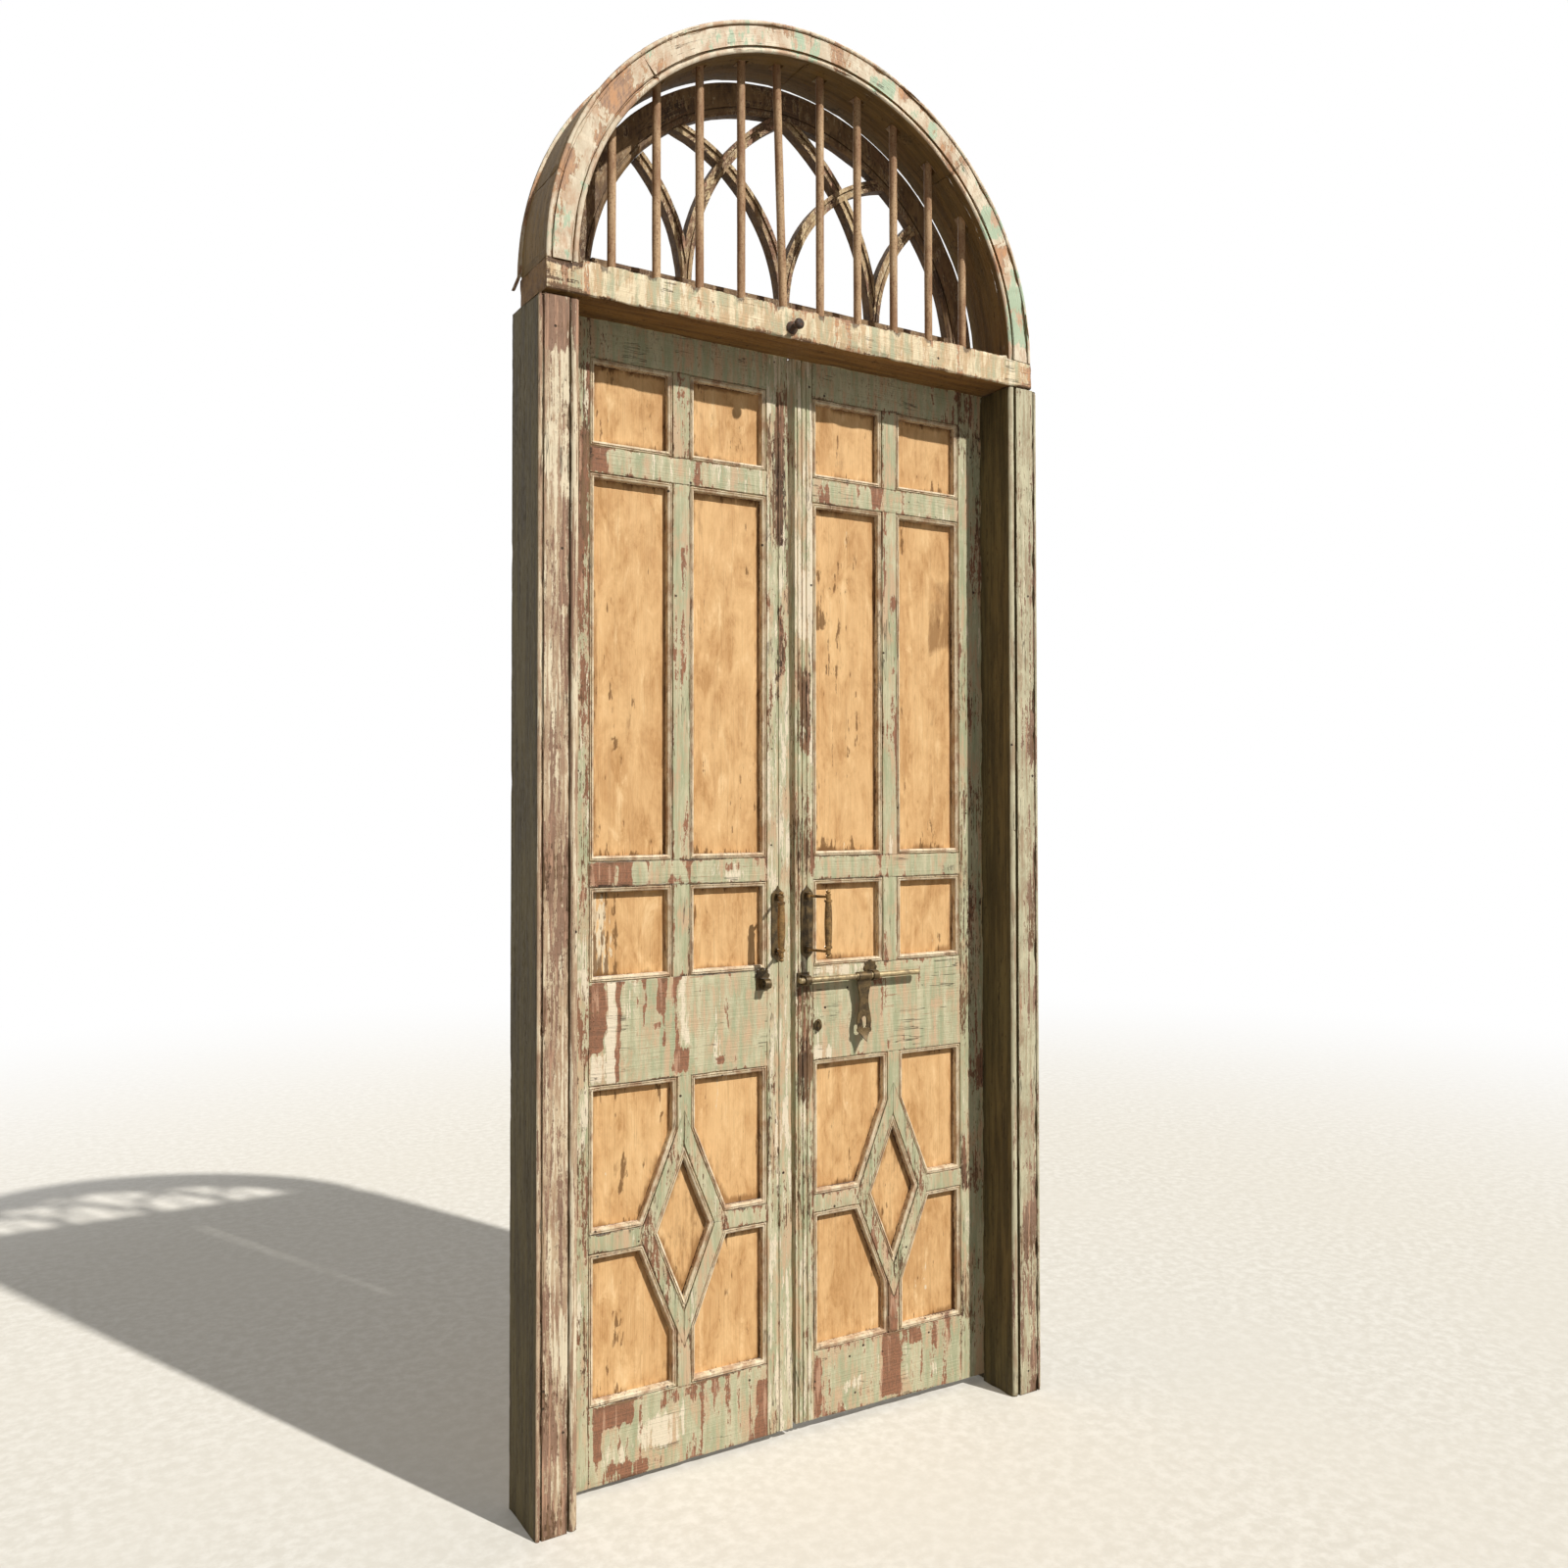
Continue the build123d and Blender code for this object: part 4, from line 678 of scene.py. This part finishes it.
def rusty_iron(name, light, dark, rust):
    """Iron under thin worn paint and rust."""
    shader = Shader(name)
    clouds = shader.noise((30, 30, 9), detail=5, rough=0.65)
    flecks = shader.noise(240, detail=3, rough=0.7)
    colour = shader.mix(shader.ramp(clouds, 0.38, 0.60), dark, light)
    colour = shader.mix(shader.ramp(flecks, 0.50, 0.68, 0, 0.8), colour, rust)
    colour = shader.mix(shader.ramp(clouds, 0.62, 0.72, 0, 0.7), colour, CREAM)
    normal = shader.bump(shader.math("ADD", clouds, flecks), 0.6 * MM, 0.7)
    return shader.finish(colour, shader.ramp(flecks, 0.3, 0.7, 0.6, 0.85), normal)


# Worn places of the coats, listed in millimetres of the front view: left, right, low, high, strength

UNDERCOAT = {
    "left_frieze_rail": [(-470, -424, 1990, 2040, 0.4), (-236, -208, 1990, 2040, 0.3)],
    "right_frieze_rail": [(70, 96, 1990, 2036, 0.22), (214, 242, 1992, 2038, 0.35),
                          (424, 440, 2000, 2030, 0.2)],
    "left_middle_rail": [(-462, -404, 1173, 1222, 0.45), (-398, -366, 1173, 1222, 0.45),
                         (-292, -256, 1173, 1190, 0.25), (-242, -230, 1176, 1222, 0.3),
                         (-166, -120, 1195, 1216, 0.2)],
    "left_lock_rail": [(-458, -425, 850, 986, 0.5), (-401, -393, 790, 986, 0.6),
                       (-344, -338, 896, 984, 0.4), (-308, -290, 920, 986, 0.5),
                       (-300, -291, 850, 925, 0.5), (-275, -266, 845, 986, 0.45),
                       (-278, -237, 796, 842, 0.45), (-182, -158, 798, 818, 0.4),
                       (-330, -280, 884, 896, 0.3)],
    "right_lock_rail": [(250, 300, 792, 818, 0.25), (205, 235, 935, 950, 0.25), (58, 80, 840, 900, 0.15)],
    "left_bottom_rail": [(-448, -366, 118, 164, 0.4), (-300, -206, 130, 164, 0.28),
                         (-430, -300, 15, 44, 0.22), (-450, -430, 60, 120, 0.2),
                         (-84, -56, 20, 130, 0.3)],
    "right_bottom_rail": [(238, 288, 30, 164, 0.35), (58, 80, 30, 150, 0.3), (296, 344, 126, 164, 0.25)],
    "left_muntins": [(-266, -243, 2040, 2215, 0.3), (-266, -246, 1390, 1860, 0.22),
                     (-256, -240, 986, 1120, 0.2), (-282, -268, 1080, 1173, 0.15),
                     (-266, -250, 164, 240, 0.1)],
    "right_muntins": [(258, 278, 1620, 1800, 0.25), (246, 262, 1700, 1988, 0.15),
                      (254, 284, 164, 280, 0.25)],
    "left_meeting_stile": [(-34, -18, 1880, 2215, 0.28), (-30, -14, 1600, 1760, 0.3),
                           (-14, 6, 2000, 2297, 0.15), (-24, -4, 60, 700, 0.14),
                           (-60, -44, 300, 700, 0.1)],
    "right_meeting_stile": [(18, 50, 1440, 1620, 0.25), (13, 60, 760, 960, 0.14),
                            (40, 60, 60, 500, 0.12)],
    "left_hinge_stile": [(-470, -459, 1300, 2200, 0.18), (-530, -505, 300, 2200, 0.12)],
    "left_jamb": [(-605, -523, 1500, 1900, 0.08), (-600, -575, 0, 1500, 0.08),
                  (-560, -523, 1700, 1850, 0.12), (-605, -523, 2180, 2280, 0.2)],
    "right_jamb": [(523, 605, 500, 760, 0.12), (590, 605, 0, 2287, 0.1)],
    "transom": [(-590, -500, 2290, 2356, 0.18), (-150, -90, 2290, 2356, 0.1),
                (548, 590, 2290, 2340, 0.3)],
    "arch": [(-130, -45, 2905, 2950, 0.22), (340, 400, 2730, 2785, 0.25), (-480, -410, 2650, 2715, 0.25),
             (475, 520, 2540, 2600, 0.3), (-590, -540, 2470, 2560, 0.15), (200, 250, 2860, 2890, 0.2)],
}
PRIMER = {
    "left_lock_rail": [(-423, -402, 786, 986, 0.45), (-264, -240, 846, 986, 0.3),
                       (-390, -345, 900, 986, 0.15), (-180, -160, 800, 986, 0.15),
                       (-458, -424, 790, 845, 0.3)],
    "left_bottom_rail": [(-360, -250, 56, 120, 0.2), (-440, -380, 40, 90, 0.18)],
    "right_bottom_rail": [(100, 220, 60, 90, 0.15), (300, 440, 40, 80, 0.12)],
    "right_meeting_stile": [(22, 46, 1690, 1830, 0.4), (48, 60, 1300, 2200, 0.2)],
    "left_meeting_stile": [(-22, -8, 1680, 1830, 0.35), (-60, -46, 1300, 2200, 0.15)],
    "left_hinge_stile": [(-480, -459, 300, 2200, 0.25)],
    "right_muntins": [(254, 276, 1222, 1310, 0.3)],
    "left_middle_rail": [(-200, -110, 1180, 1215, 0.2)],
    "right_lock_rail": [(60, 230, 965, 986, 0.25), (60, 110, 786, 815, 0.25)],
    "left_jamb": [(-560, -523, 1900, 2280, 0.2), (-545, -523, 0, 2280, 0.12)],
    "arch": [(-60, 10, 2880, 2935, 0.22), (140, 215, 2862, 2900, 0.22), (-410, -350, 2755, 2800, 0.2),
             (440, 510, 2610, 2690, 0.22), (515, 580, 2385, 2560, 0.25), (-580, -540, 2365, 2450, 0.24),
             (250, 330, 2800, 2850, 0.14), (-260, -200, 2850, 2890, 0.14)],
}
WOOD = {
    "left_jamb": [(-605, -523, 0, 300, 0.08), (-605, -560, 900, 1900, 0.06)],
    "transom": [(-590, -520, 2290, 2356, 0.25)],
    "right_meeting_stile": [(13, 60, 690, 790, 0.2)],
    "right_muntins": [(288, 350, 460, 497, 0.05)],
}
# Dirt, and painted shade: the transom's shadow over the top rails and the shade inside the transom's
# notches
GRIME_AND_SHADE = {
    "right_lock_rail": [(110, 300, 800, 980, 0.08), (78, 120, 850, 960, 0.10)],
    "right_middle_rail": [(405, 445, 1178, 1192, 0.3), (50, 470, 1173, 1222, 0.05)],
    "left_meeting_stile": [(-56, -44, 1650, 1680, 0.3)],
    "left_top_rail": [(-470, -50, 2215, 2297, 0.12)],
    "right_top_rail": [(50, 470, 2215, 2297, 0.12)],
    "transom": [(x - 9, x + 9, 2344, 2358, 0.5) for x in NOTCHES],
}

# Scuffs, pale rubs and stains on the stripped panels
SCUFFS = {
    "left_tall_panels": [(-366, -352, 1498, 1560, 0.3), (-402, -392, 1440, 1475, 0.35),
                         (-410, -398, 1540, 1590, 0.2), (-196, -188, 1398, 1432, 0.25),
                         (-460, -280, 1222, 1262, 0.08), (-240, -56, 1222, 1250, 0.08)],
    "right_tall_panels": [(76, 100, 1715, 1850, 0.26), (108, 130, 1790, 1815, 0.2),
                          (148, 172, 1800, 1850, 0.12), (148, 190, 1440, 1540, 0.16),
                          (96, 142, 1612, 1640, 0.12), (80, 210, 1222, 1262, 0.15),
                          (310, 318, 1870, 1965, 0.2), (310, 322, 1680, 1700, 0.3),
                          (396, 446, 1700, 1835, 0.14)],
    "left_small_panels": [(-452, -392, 986, 1173, 0.12), (-400, -388, 1110, 1160, 0.3),
                          (-170, -164, 1030, 1140, 0.1)],
    "right_small_panels": [(396, 450, 1000, 1040, 0.1)],
    "left_corner_panels": [(-402, -396, 690, 760, 0.3), (-392, -368, 560, 650, 0.24),
                           (-304, -288, 690, 775, 0.3), (-402, -380, 170, 340, 0.2),
                           (-446, -352, 185, 235, 0.14), (-250, -150, 500, 530, 0.1)],
    "right_corner_panels": [(168, 182, 520, 600, 0.2), (130, 142, 180, 230, 0.3),
                            (346, 358, 258, 282, 0.2)],
    "right_diamond_panel": [(252, 262, 420, 450, 0.2)],
    "left_top_panels": [(-440, -420, 2060, 2120, 0.15), (-350, -330, 2090, 2150, 0.15)],
    "right_top_panels": [(340, 440, 2055, 2090, 0.12)],
}
PALE = {
    "left_small_panels": [(-456, -400, 986, 1173, 0.3)],
    "left_tall_panels": [(-460, -440, 1222, 1988, 0.15), (-190, -110, 1800, 1840, 0.12)],
    "left_corner_panels": [(-180, -160, 700, 780, 0.2), (-440, -400, 500, 786, 0.06)],
    "right_corner_panels": [(300, 400, 230, 330, 0.15), (60, 120, 300, 460, 0.08)],
    "right_small_panels": [(108, 118, 1078, 1092, 0.6)],
    "left_top_panels": [(-460, -300, 2040, 2080, 0.05)],
}
STAINS = {
    "right_tall_panels": [(390, 450, 1690, 1850, 0.3), (300, 360, 1600, 1660, 0.12),
                          (396, 430, 1480, 1590, 0.12)],
    "left_tall_panels": [(-250, -56, 1480, 1560, 0.08)],
    "left_corner_panels": [(-240, -56, 496, 530, 0.2)],
    "left_diamond_panel": [(-320, -180, 330, 640, 0.12)],
    "right_diamond_panel": [(200, 340, 330, 640, 0.12)],
}


def listed(table, node, x, z, jitter, edge):
    """The strongest of a node's listed places at each point, in spreads of the shader's noise."""
    strongest = np.zeros(len(x))
    group = "arch" if node.startswith("arch") else node
    for *box, strength in table.get(group, []):
        here = LISTED_GAIN * strength * soft_box(x + jitter, z + jitter, box, edge)
        strongest = np.maximum(strongest, here)
    return strongest


def timber_coats(node, seed, under, splash, wood, grime_and_shade):
    """How far each coat of a painted timber is worn away, and where dirt and painted shade darken it, by
    place.
    """
    def coats(points, normals, arris):
        x = points[:, 0]
        z = points[:, 2]
        front = np.clip(-normals[:, 1] * 2, 0, 1)
        jitter = (fractal(points, 0.03, seed + 11) - 0.5) * JITTER
        drift = fractal(points, (0.12, 0.12, 0.35), seed + 13) - 0.5
        worn_edge = arris * fractal(points, (0.05, 0.05, 0.12), seed + 17, 2)
        show_under = under + 2.2 * drift + 1.2 * worn_edge
        show_under = show_under + front * listed(UNDERCOAT, node, x, z, jitter, 10 * MM)
        show_splash = splash - 1.2 * drift + 0.6 * arris * (1 - worn_edge)
        show_splash = show_splash + front * listed(PRIMER, node, x, z, jitter, 12 * MM)
        show_wood = wood + 2.6 * worn_edge + front * listed(WOOD, node, x, z, jitter, 20 * MM)
        dirty_and_shaded = grime_and_shade + 0.6 * arris + front * listed(GRIME_AND_SHADE, node, x, z, jitter, 10 * MM)
        return np.stack([show_under, show_splash, show_wood, dirty_and_shaded], axis=1)
    return coats


def panel_coats(node, seed):
    """Where a stripped panel is scuffed, pale, stained or marked, and where its bead's paint is worn; the
    bead's sunk parts and the panel's edges get painted shade.
    """
    def coats(points, normals, arris):
        x = points[:, 0]
        z = points[:, 2]
        jitter = (fractal(points, 0.02, seed + 11) - 0.5) * JITTER
        drift = fractal(points, (0.06, 0.06, 0.2), seed + 13) - 0.5
        scuffed = listed(SCUFFS, node, x, z, jitter, 6 * MM) + 2.2 * drift + 0.9 * arris
        pale = listed(PALE, node, x, z, jitter, 14 * MM)
        stained = listed(STAINS, node, x, z, jitter, 25 * MM) + 2.0 * arris * (1 + 2 * drift)
        on_bead = points[:, 1] < BEAD_FACES
        first = np.where(on_bead, 2.4 * drift - 0.2, scuffed)
        second = np.where(on_bead, 0.3, pale)
        third = np.where(on_bead, 0.4, stained)
        # The fourth channel is painted shade: on a bead, deeper where the groove and the fillet sink; on a
        # panel, along its edges against the bead
        sunk = np.clip((points[:, 1] - BEAD_FRONT) / (2 * MM), 0, 1)
        fourth = np.where(on_bead, 2.2 * sunk - 1.1, 0.5 * arris)
        return np.stack([first, second, third, fourth], axis=1)
    return coats


# Materials

leaf_paint = painted_timber(
    "leaf_paint", top=srgb(164, 167, 132), top_light=srgb(200, 192, 158), stain=srgb(204, 170, 136),
    splash=srgb(232, 216, 190), under=(BRICK_DARK, BRICK, PINK), worn=1.25,
)
bead_paint = painted_timber(
    "bead_paint", top=srgb(206, 186, 152), top_light=srgb(228, 212, 182), stain=srgb(178, 142, 110),
    splash=CREAM_DULL, under=(BRICK_DARK, MAUVE, PINK), streak=(36, 36, 26), worn=1.7,
)
# The reveal colours of this and the following paints are old wood and thin paint, darkened as painted
# shade
jamb_paint = painted_timber(
    "jamb_paint", top=srgb(180, 152, 122), top_light=srgb(206, 184, 152), stain=srgb(150, 118, 94),
    splash=CREAM, under=(srgb(122, 90, 70), MAUVE, PINK), streak=(105, 105, 4), worn=0.9,
    splashed=0.9, bare=3.5, reveal=(srgb(76, 64, 38), OLIVE, srgb(50, 40, 26)),
)
right_jamb_paint = painted_timber(
    "right_jamb_paint", top=srgb(178, 172, 142), top_light=srgb(204, 196, 164),
    stain=srgb(160, 136, 108), splash=CREAM, under=(srgb(104, 74, 58), MAUVE, PINK),
    streak=(105, 105, 4), worn=1.3, bare=3.4, reveal=(srgb(76, 66, 40), OLIVE, srgb(52, 42, 26)),
)
transom_paint = painted_timber(
    "transom_paint", top=srgb(202, 170, 130), top_light=srgb(230, 212, 176), stain=srgb(176, 180, 148),
    splash=srgb(238, 226, 198), under=(MAUVE, ORANGE, PINK), streak=(44, 44, 3), banding=(-0.3, 0.4),
    worn=1.0, splashed=0.9, reveal=(srgb(112, 80, 42), srgb(150, 112, 62), srgb(76, 54, 30)),
)
arch_paint = painted_timber(
    "arch_paint", top=srgb(210, 192, 164), top_light=srgb(232, 218, 192), stain=srgb(196, 158, 126),
    splash=MINT, under=(MAUVE, srgb(196, 152, 116), ORANGE), streak=(26, 26, 12), worn=1.3,
    splashed=1.35, bare=3.9, reveal=(srgb(108, 84, 44), srgb(140, 110, 62), srgb(74, 56, 30)),
)
# The sash's paint is darkened as painted shade, standing for the shadow that the arch casts on the ring
sash_paint_and_shade = painted_timber(
    "sash_paint_and_shade", top=srgb(120, 94, 62), top_light=srgb(146, 118, 82), stain=srgb(88, 64, 42),
    splash=CREAM_DULL, under=(srgb(66, 46, 32), srgb(96, 68, 48), MAUVE), streak=(60, 60, 20),
    splashed=2.0, reveal=(srgb(76, 56, 34), srgb(108, 82, 52), srgb(50, 36, 24)),
)
tracery_paint = painted_timber(
    "tracery_paint", top=srgb(172, 144, 104), top_light=srgb(206, 184, 142), stain=srgb(120, 90, 60),
    splash=CREAM_DULL, under=(BRICK_DARK, MAUVE, PINK), streak=(70, 70, 30), splashed=1.3,
    reveal=(srgb(84, 62, 38), srgb(120, 92, 58), srgb(56, 42, 28)),
)
panel_wood = bare_panel()
brass = aged_brass("aged_brass", dark=srgb(58, 46, 28), light=srgb(104, 84, 52), rubbed=srgb(164, 140, 96))
grip_brass = aged_brass(
    "grip_brass", dark=srgb(92, 68, 38), light=srgb(150, 116, 68), rubbed=srgb(212, 182, 124),
)
rubbed_brass = aged_brass(
    "rubbed_brass", dark=srgb(120, 104, 76), light=srgb(182, 162, 122), rubbed=srgb(226, 210, 172),
)
bar_iron = rusty_iron(
    "bar_iron", light=srgb(190, 158, 120), dark=srgb(150, 114, 82), rust=srgb(120, 80, 54),
)
dark_iron = rusty_iron("dark_iron", light=srgb(84, 66, 52), dark=srgb(52, 42, 36), rust=srgb(110, 70, 44))


# The pieces: how far apart each is cut, in millimetres, or in radians where it is cut round

UPRIGHT_STEPS = {"z": 9}
RAIL_STEPS = {"x": 5, "z": 9}
PANEL_STEPS = {"z": 9, "x": 9}
MUNTIN_STEPS = {"x": 12, "z": 10}
JAMB_STEPS = {"z": 10, "y": 25}
TRANSOM_STEPS = {"x": 7, "y": 25, "z": 15}
ARCH_STEPS = {"round": (ARCH_CENTRE, math.radians(1.1)), "y": 25}
LEAF_TIMBERS = {
    "hinge_stile": ("z", UPRIGHT_STEPS),
    "meeting_stile": ("z", UPRIGHT_STEPS),
    "top_rail": ("x", RAIL_STEPS),
    "frieze_rail": ("x", RAIL_STEPS),
    "middle_rail": ("x", RAIL_STEPS),
    "lock_rail": ("x", RAIL_STEPS),
    "bottom_rail": ("x", RAIL_STEPS),
    "muntins": ("z", MUNTIN_STEPS),
    "diamond_frame": ("z", UPRIGHT_STEPS),
}
LEAF_PANELS = ("top_panels", "tall_panels", "small_panels", "corner_panels", "diamond_panel")
# How much more than the other timbers these show of their undercoat and their pale coat
SHIFTED_COATS = {
    "meeting_stile": {"under": -0.5, "splash": 0.7},
    "bottom_rail": {"under": 0.35, "splash": 0.2},
    "frieze_rail": {"under": 0.2, "splash": 0.3},
}
SASH_RINGS = ("sash_ring_left", "sash_ring_crown", "sash_ring_right")
TRACERY = ("tracery_long_arcs", "tracery_middle_arcs", "tracery_side_arcs")
HARDWARE = {
    "transom_spike": dark_iron,
    "frame_hinge_flaps": dark_iron,
    "hinge_pins": dark_iron,
    "left_hinge_flaps": dark_iron,
    "right_hinge_flaps": dark_iron,
    "left_pull_plate": brass,
    "right_pull_plate": brass,
    "left_pull_bail": grip_brass,
    "right_pull_bail": grip_brass,
    "bolt_rod": rubbed_brass,
    "bolt_keeper": brass,
    "bolt_brackets": brass,
    "hasp_staple": brass,
}


def dress_timber(node, paint, grain, steps, seed, under=0.0, splash=0.0, wood=0.0, grime_and_shade=0.0, **wear):
    """Dress a painted timber."""
    coats = timber_coats(node, seed, under, splash, wood, grime_and_shade)
    dress(node, [paint], grain, steps, seed, coats=coats, **wear)


def dress_leaf(side, seed):
    """Dress a leaf's timbers and panels, each with a seed of its own; the next free seed is returned."""
    for part, (axis, steps) in LEAF_TIMBERS.items():
        solid_of = quadrant_about(DIAMOND_CENTRES[side]) if part == "diamond_frame" else one_solid
        dress_timber(f"{side}_{part}", leaf_paint, straight_grain(axis), steps, seed, solid_of=solid_of,
                     **SHIFTED_COATS.get(part, {}))
        seed += 1
    for part in LEAF_PANELS:
        node = f"{side}_{part}"
        dress(node, [bead_paint, panel_wood], straight_grain("z"), PANEL_STEPS, seed,
              coats=panel_coats(node, seed), bevel=0, chip=0.4, dent=0.3, edge_reach=9, carve=groove_beads,
              pick_material=lambda centres: centres[:, 1] > BEAD_FACES)
        seed += 1
    return seed


def dress_frame():
    """Dress the jambs, the transom and the arch."""
    dress_timber("left_jamb", jamb_paint, straight_grain("z"), JAMB_STEPS, seed=60, chip=2.5)
    dress_timber("right_jamb", right_jamb_paint, straight_grain("z"), JAMB_STEPS, seed=61, chip=2.5)
    dress_timber("transom", transom_paint, straight_grain("x"), TRANSOM_STEPS, seed=62, chip=3.0,
                 shape=notch_top)
    for i in range(1, 6):
        dress_timber(f"arch_segment_{i}", arch_paint, arc_grain(ARCH_CENTRE), ARCH_STEPS, seed=70 + i,
                     wood=-0.6, grime_and_shade=-0.5, chip=2.0)
    dress_timber("arch_back_band", arch_paint, arc_grain(ARCH_CENTRE), {}, seed=80, bevel=0.6, chip=1.0)


def dress_fanlight():
    """Dress the sash, its tracery and the bars before it."""
    for i, node in enumerate(SASH_RINGS + TRACERY):
        paint = tracery_paint if node in TRACERY else sash_paint_and_shade
        dress_timber(node, paint, arc_grain(SASH_CENTRE), {}, seed=90 + i, bevel=0.8, chip=0.8)
    dress_timber("sash_bottom_rail", sash_paint_and_shade, straight_grain("x"), {"x": 15}, seed=97, bevel=0.8,
                 chip=0.8)
    dress("fanlight_bars", [bar_iron], straight_grain("z"), {"z": 14}, seed=98, bevel=0, chip=0,
          dent=0.5, shrink=1.3)


def finish_hardware():
    """Curl the hasp, and give the other CAD fittings their metals and eased edges."""
    dress("bolt_hasp", [brass], straight_grain("z"), {"z": 3, "x": 3}, seed=120, bevel=0.5, chip=0.3,
          dent=0.25, shape=curl_tip)
    for node, metal in HARDWARE.items():
        data = NODES[node].data
        data.materials.clear()
        data.materials.append(metal)
        eased = NODES[node].modifiers.new("eased", "BEVEL")
        eased.width = HARDWARE_EASE
        eased.segments = 2
        eased.limit_method = "ANGLE"
        eased.angle_limit = SHARP
        eased.harden_normals = True


# Floor, light and camera

def seen_directly(shader):
    """1 where a camera or a mirror looks at the surface, and 0 for the light that it throws back."""
    paths = shader.node("ShaderNodeLightPath")
    return shader.math("MAXIMUM", paths.outputs["Is Camera Ray"], paths.outputs["Is Glossy Ray"])


def make_floor():
    """A pale floor that fades into the backdrop."""
    bpy.ops.mesh.primitive_circle_add(
        vertices=FLOOR_SIDES, radius=FLOOR_RADIUS, fill_type="NGON", location=(0, 0, 0),
    )
    floor = bpy.context.object
    floor.name = "floor"
    shader = Shader("pale_floor")
    grit = shader.noise(35, detail=5, rough=0.65)
    clouds = shader.noise(1.4, detail=3, rough=0.5)
    colour = shader.mix(shader.ramp(grit, 0.35, 0.7), FLOOR_DARK, FLOOR_LIGHT)
    colour = shader.mix(shader.ramp(clouds, 0.4, 0.7, 0, 0.5), colour, FLOOR_CLOUD)
    floor.data.materials.append(shader.finish(colour, 0.9, shader.bump(grit, 0.6 * MM, 0.4)))

    # The floor throws little light back at the door, so that the door's shadows stay deep
    seen = seen_directly(shader)
    dim = shader.node("ShaderNodeBsdfDiffuse")
    dim.inputs["Color"].default_value = FLOOR_BOUNCE
    bounced = shader.node("ShaderNodeMixShader")
    shader.put(bounced.inputs["Fac"], seen)
    shader.put(bounced.inputs[1], dim.outputs[0])
    shader.put(bounced.inputs[2], shader.surface.outputs[0])

    glow = shader.node("ShaderNodeEmission")
    glow.inputs["Color"].default_value = WHITE
    glow.inputs["Strength"].default_value = 1.0
    split = shader.node("ShaderNodeSeparateXYZ")
    shader.put(split.inputs[0], shader.coords)
    across = shader.math("POWER", split.outputs["X"], 2.0)
    deep = shader.math("POWER", split.outputs["Y"], 2.0)
    distance = shader.math("SQRT", shader.math("ADD", across, deep))
    fade = shader.ramp(distance, FLOOR_FADE_START, FLOOR_FADE_END)
    mixer = shader.node("ShaderNodeMixShader")
    shader.put(mixer.inputs["Fac"], shader.math("MULTIPLY", fade, seen))
    shader.put(mixer.inputs[1], bounced.outputs[0])
    shader.put(mixer.inputs[2], glow.outputs[0])
    shader.put(shader.tree.nodes["Material Output"].inputs["Surface"], mixer.outputs[0])


def add_sun(name, travel, strength, shadow):
    lamp = bpy.data.lights.new(name, "SUN")
    lamp.energy = strength
    lamp.angle = SUN_SOFTNESS
    lamp.color = SUN_COLOUR
    lamp.use_shadow = shadow
    sun = bpy.data.objects.new(name, lamp)
    sun.rotation_euler = travel.to_track_quat("-Z", "Y").to_euler()
    bpy.context.scene.collection.objects.link(sun)


def make_light():
    """A hard sun on the front, a weak one without shadows for the back, and an even sky."""
    add_sun("key", SUN_TRAVEL, SUN_STRENGTH, True)
    add_sun("back", BACK_TRAVEL, BACK_STRENGTH, False)

    world = bpy.data.worlds.new("studio")
    bpy.context.scene.world = world
    world.use_nodes = True
    tree = world.node_tree
    soft = tree.nodes["Background"]
    soft.inputs["Color"].default_value = WHITE
    soft.inputs["Strength"].default_value = SKY_STRENGTH
    backdrop = tree.nodes.new("ShaderNodeBackground")
    backdrop.inputs["Color"].default_value = WHITE
    backdrop.inputs["Strength"].default_value = 1.0
    paths = tree.nodes.new("ShaderNodeLightPath")
    seen = tree.nodes.new("ShaderNodeMath")
    seen.operation = "MAXIMUM"
    tree.links.new(paths.outputs["Is Camera Ray"], seen.inputs[0])
    tree.links.new(paths.outputs["Is Glossy Ray"], seen.inputs[1])
    mixer = tree.nodes.new("ShaderNodeMixShader")
    tree.links.new(seen.outputs[0], mixer.inputs["Fac"])
    tree.links.new(soft.outputs[0], mixer.inputs[1])
    tree.links.new(backdrop.outputs[0], mixer.inputs[2])
    tree.links.new(mixer.outputs[0], tree.nodes["World Output"].inputs["Surface"])


def make_camera():
    data = bpy.data.cameras.new("camera")
    data.sensor_width = CAMERA_SENSOR
    data.lens = CAMERA_LENS
    data.shift_y = CAMERA_SHIFT_Y
    camera = bpy.data.objects.new("camera", data)
    right = CAMERA_FORWARD.cross(CAMERA_UP).normalized()
    up = right.cross(CAMERA_FORWARD)
    turn = Matrix((right, up, -CAMERA_FORWARD)).transposed()
    camera.matrix_world = Matrix.Translation(CAMERA_PLACE) @ turn.to_4x4()
    bpy.context.scene.collection.objects.link(camera)
    bpy.context.scene.camera = camera


right_seed = dress_leaf("left", seed=1)
dress_leaf("right", seed=right_seed)
dress_frame()
dress_fanlight()
finish_hardware()
make_floor()
make_light()
make_camera()
bpy.context.scene.view_settings.view_transform = "Standard"
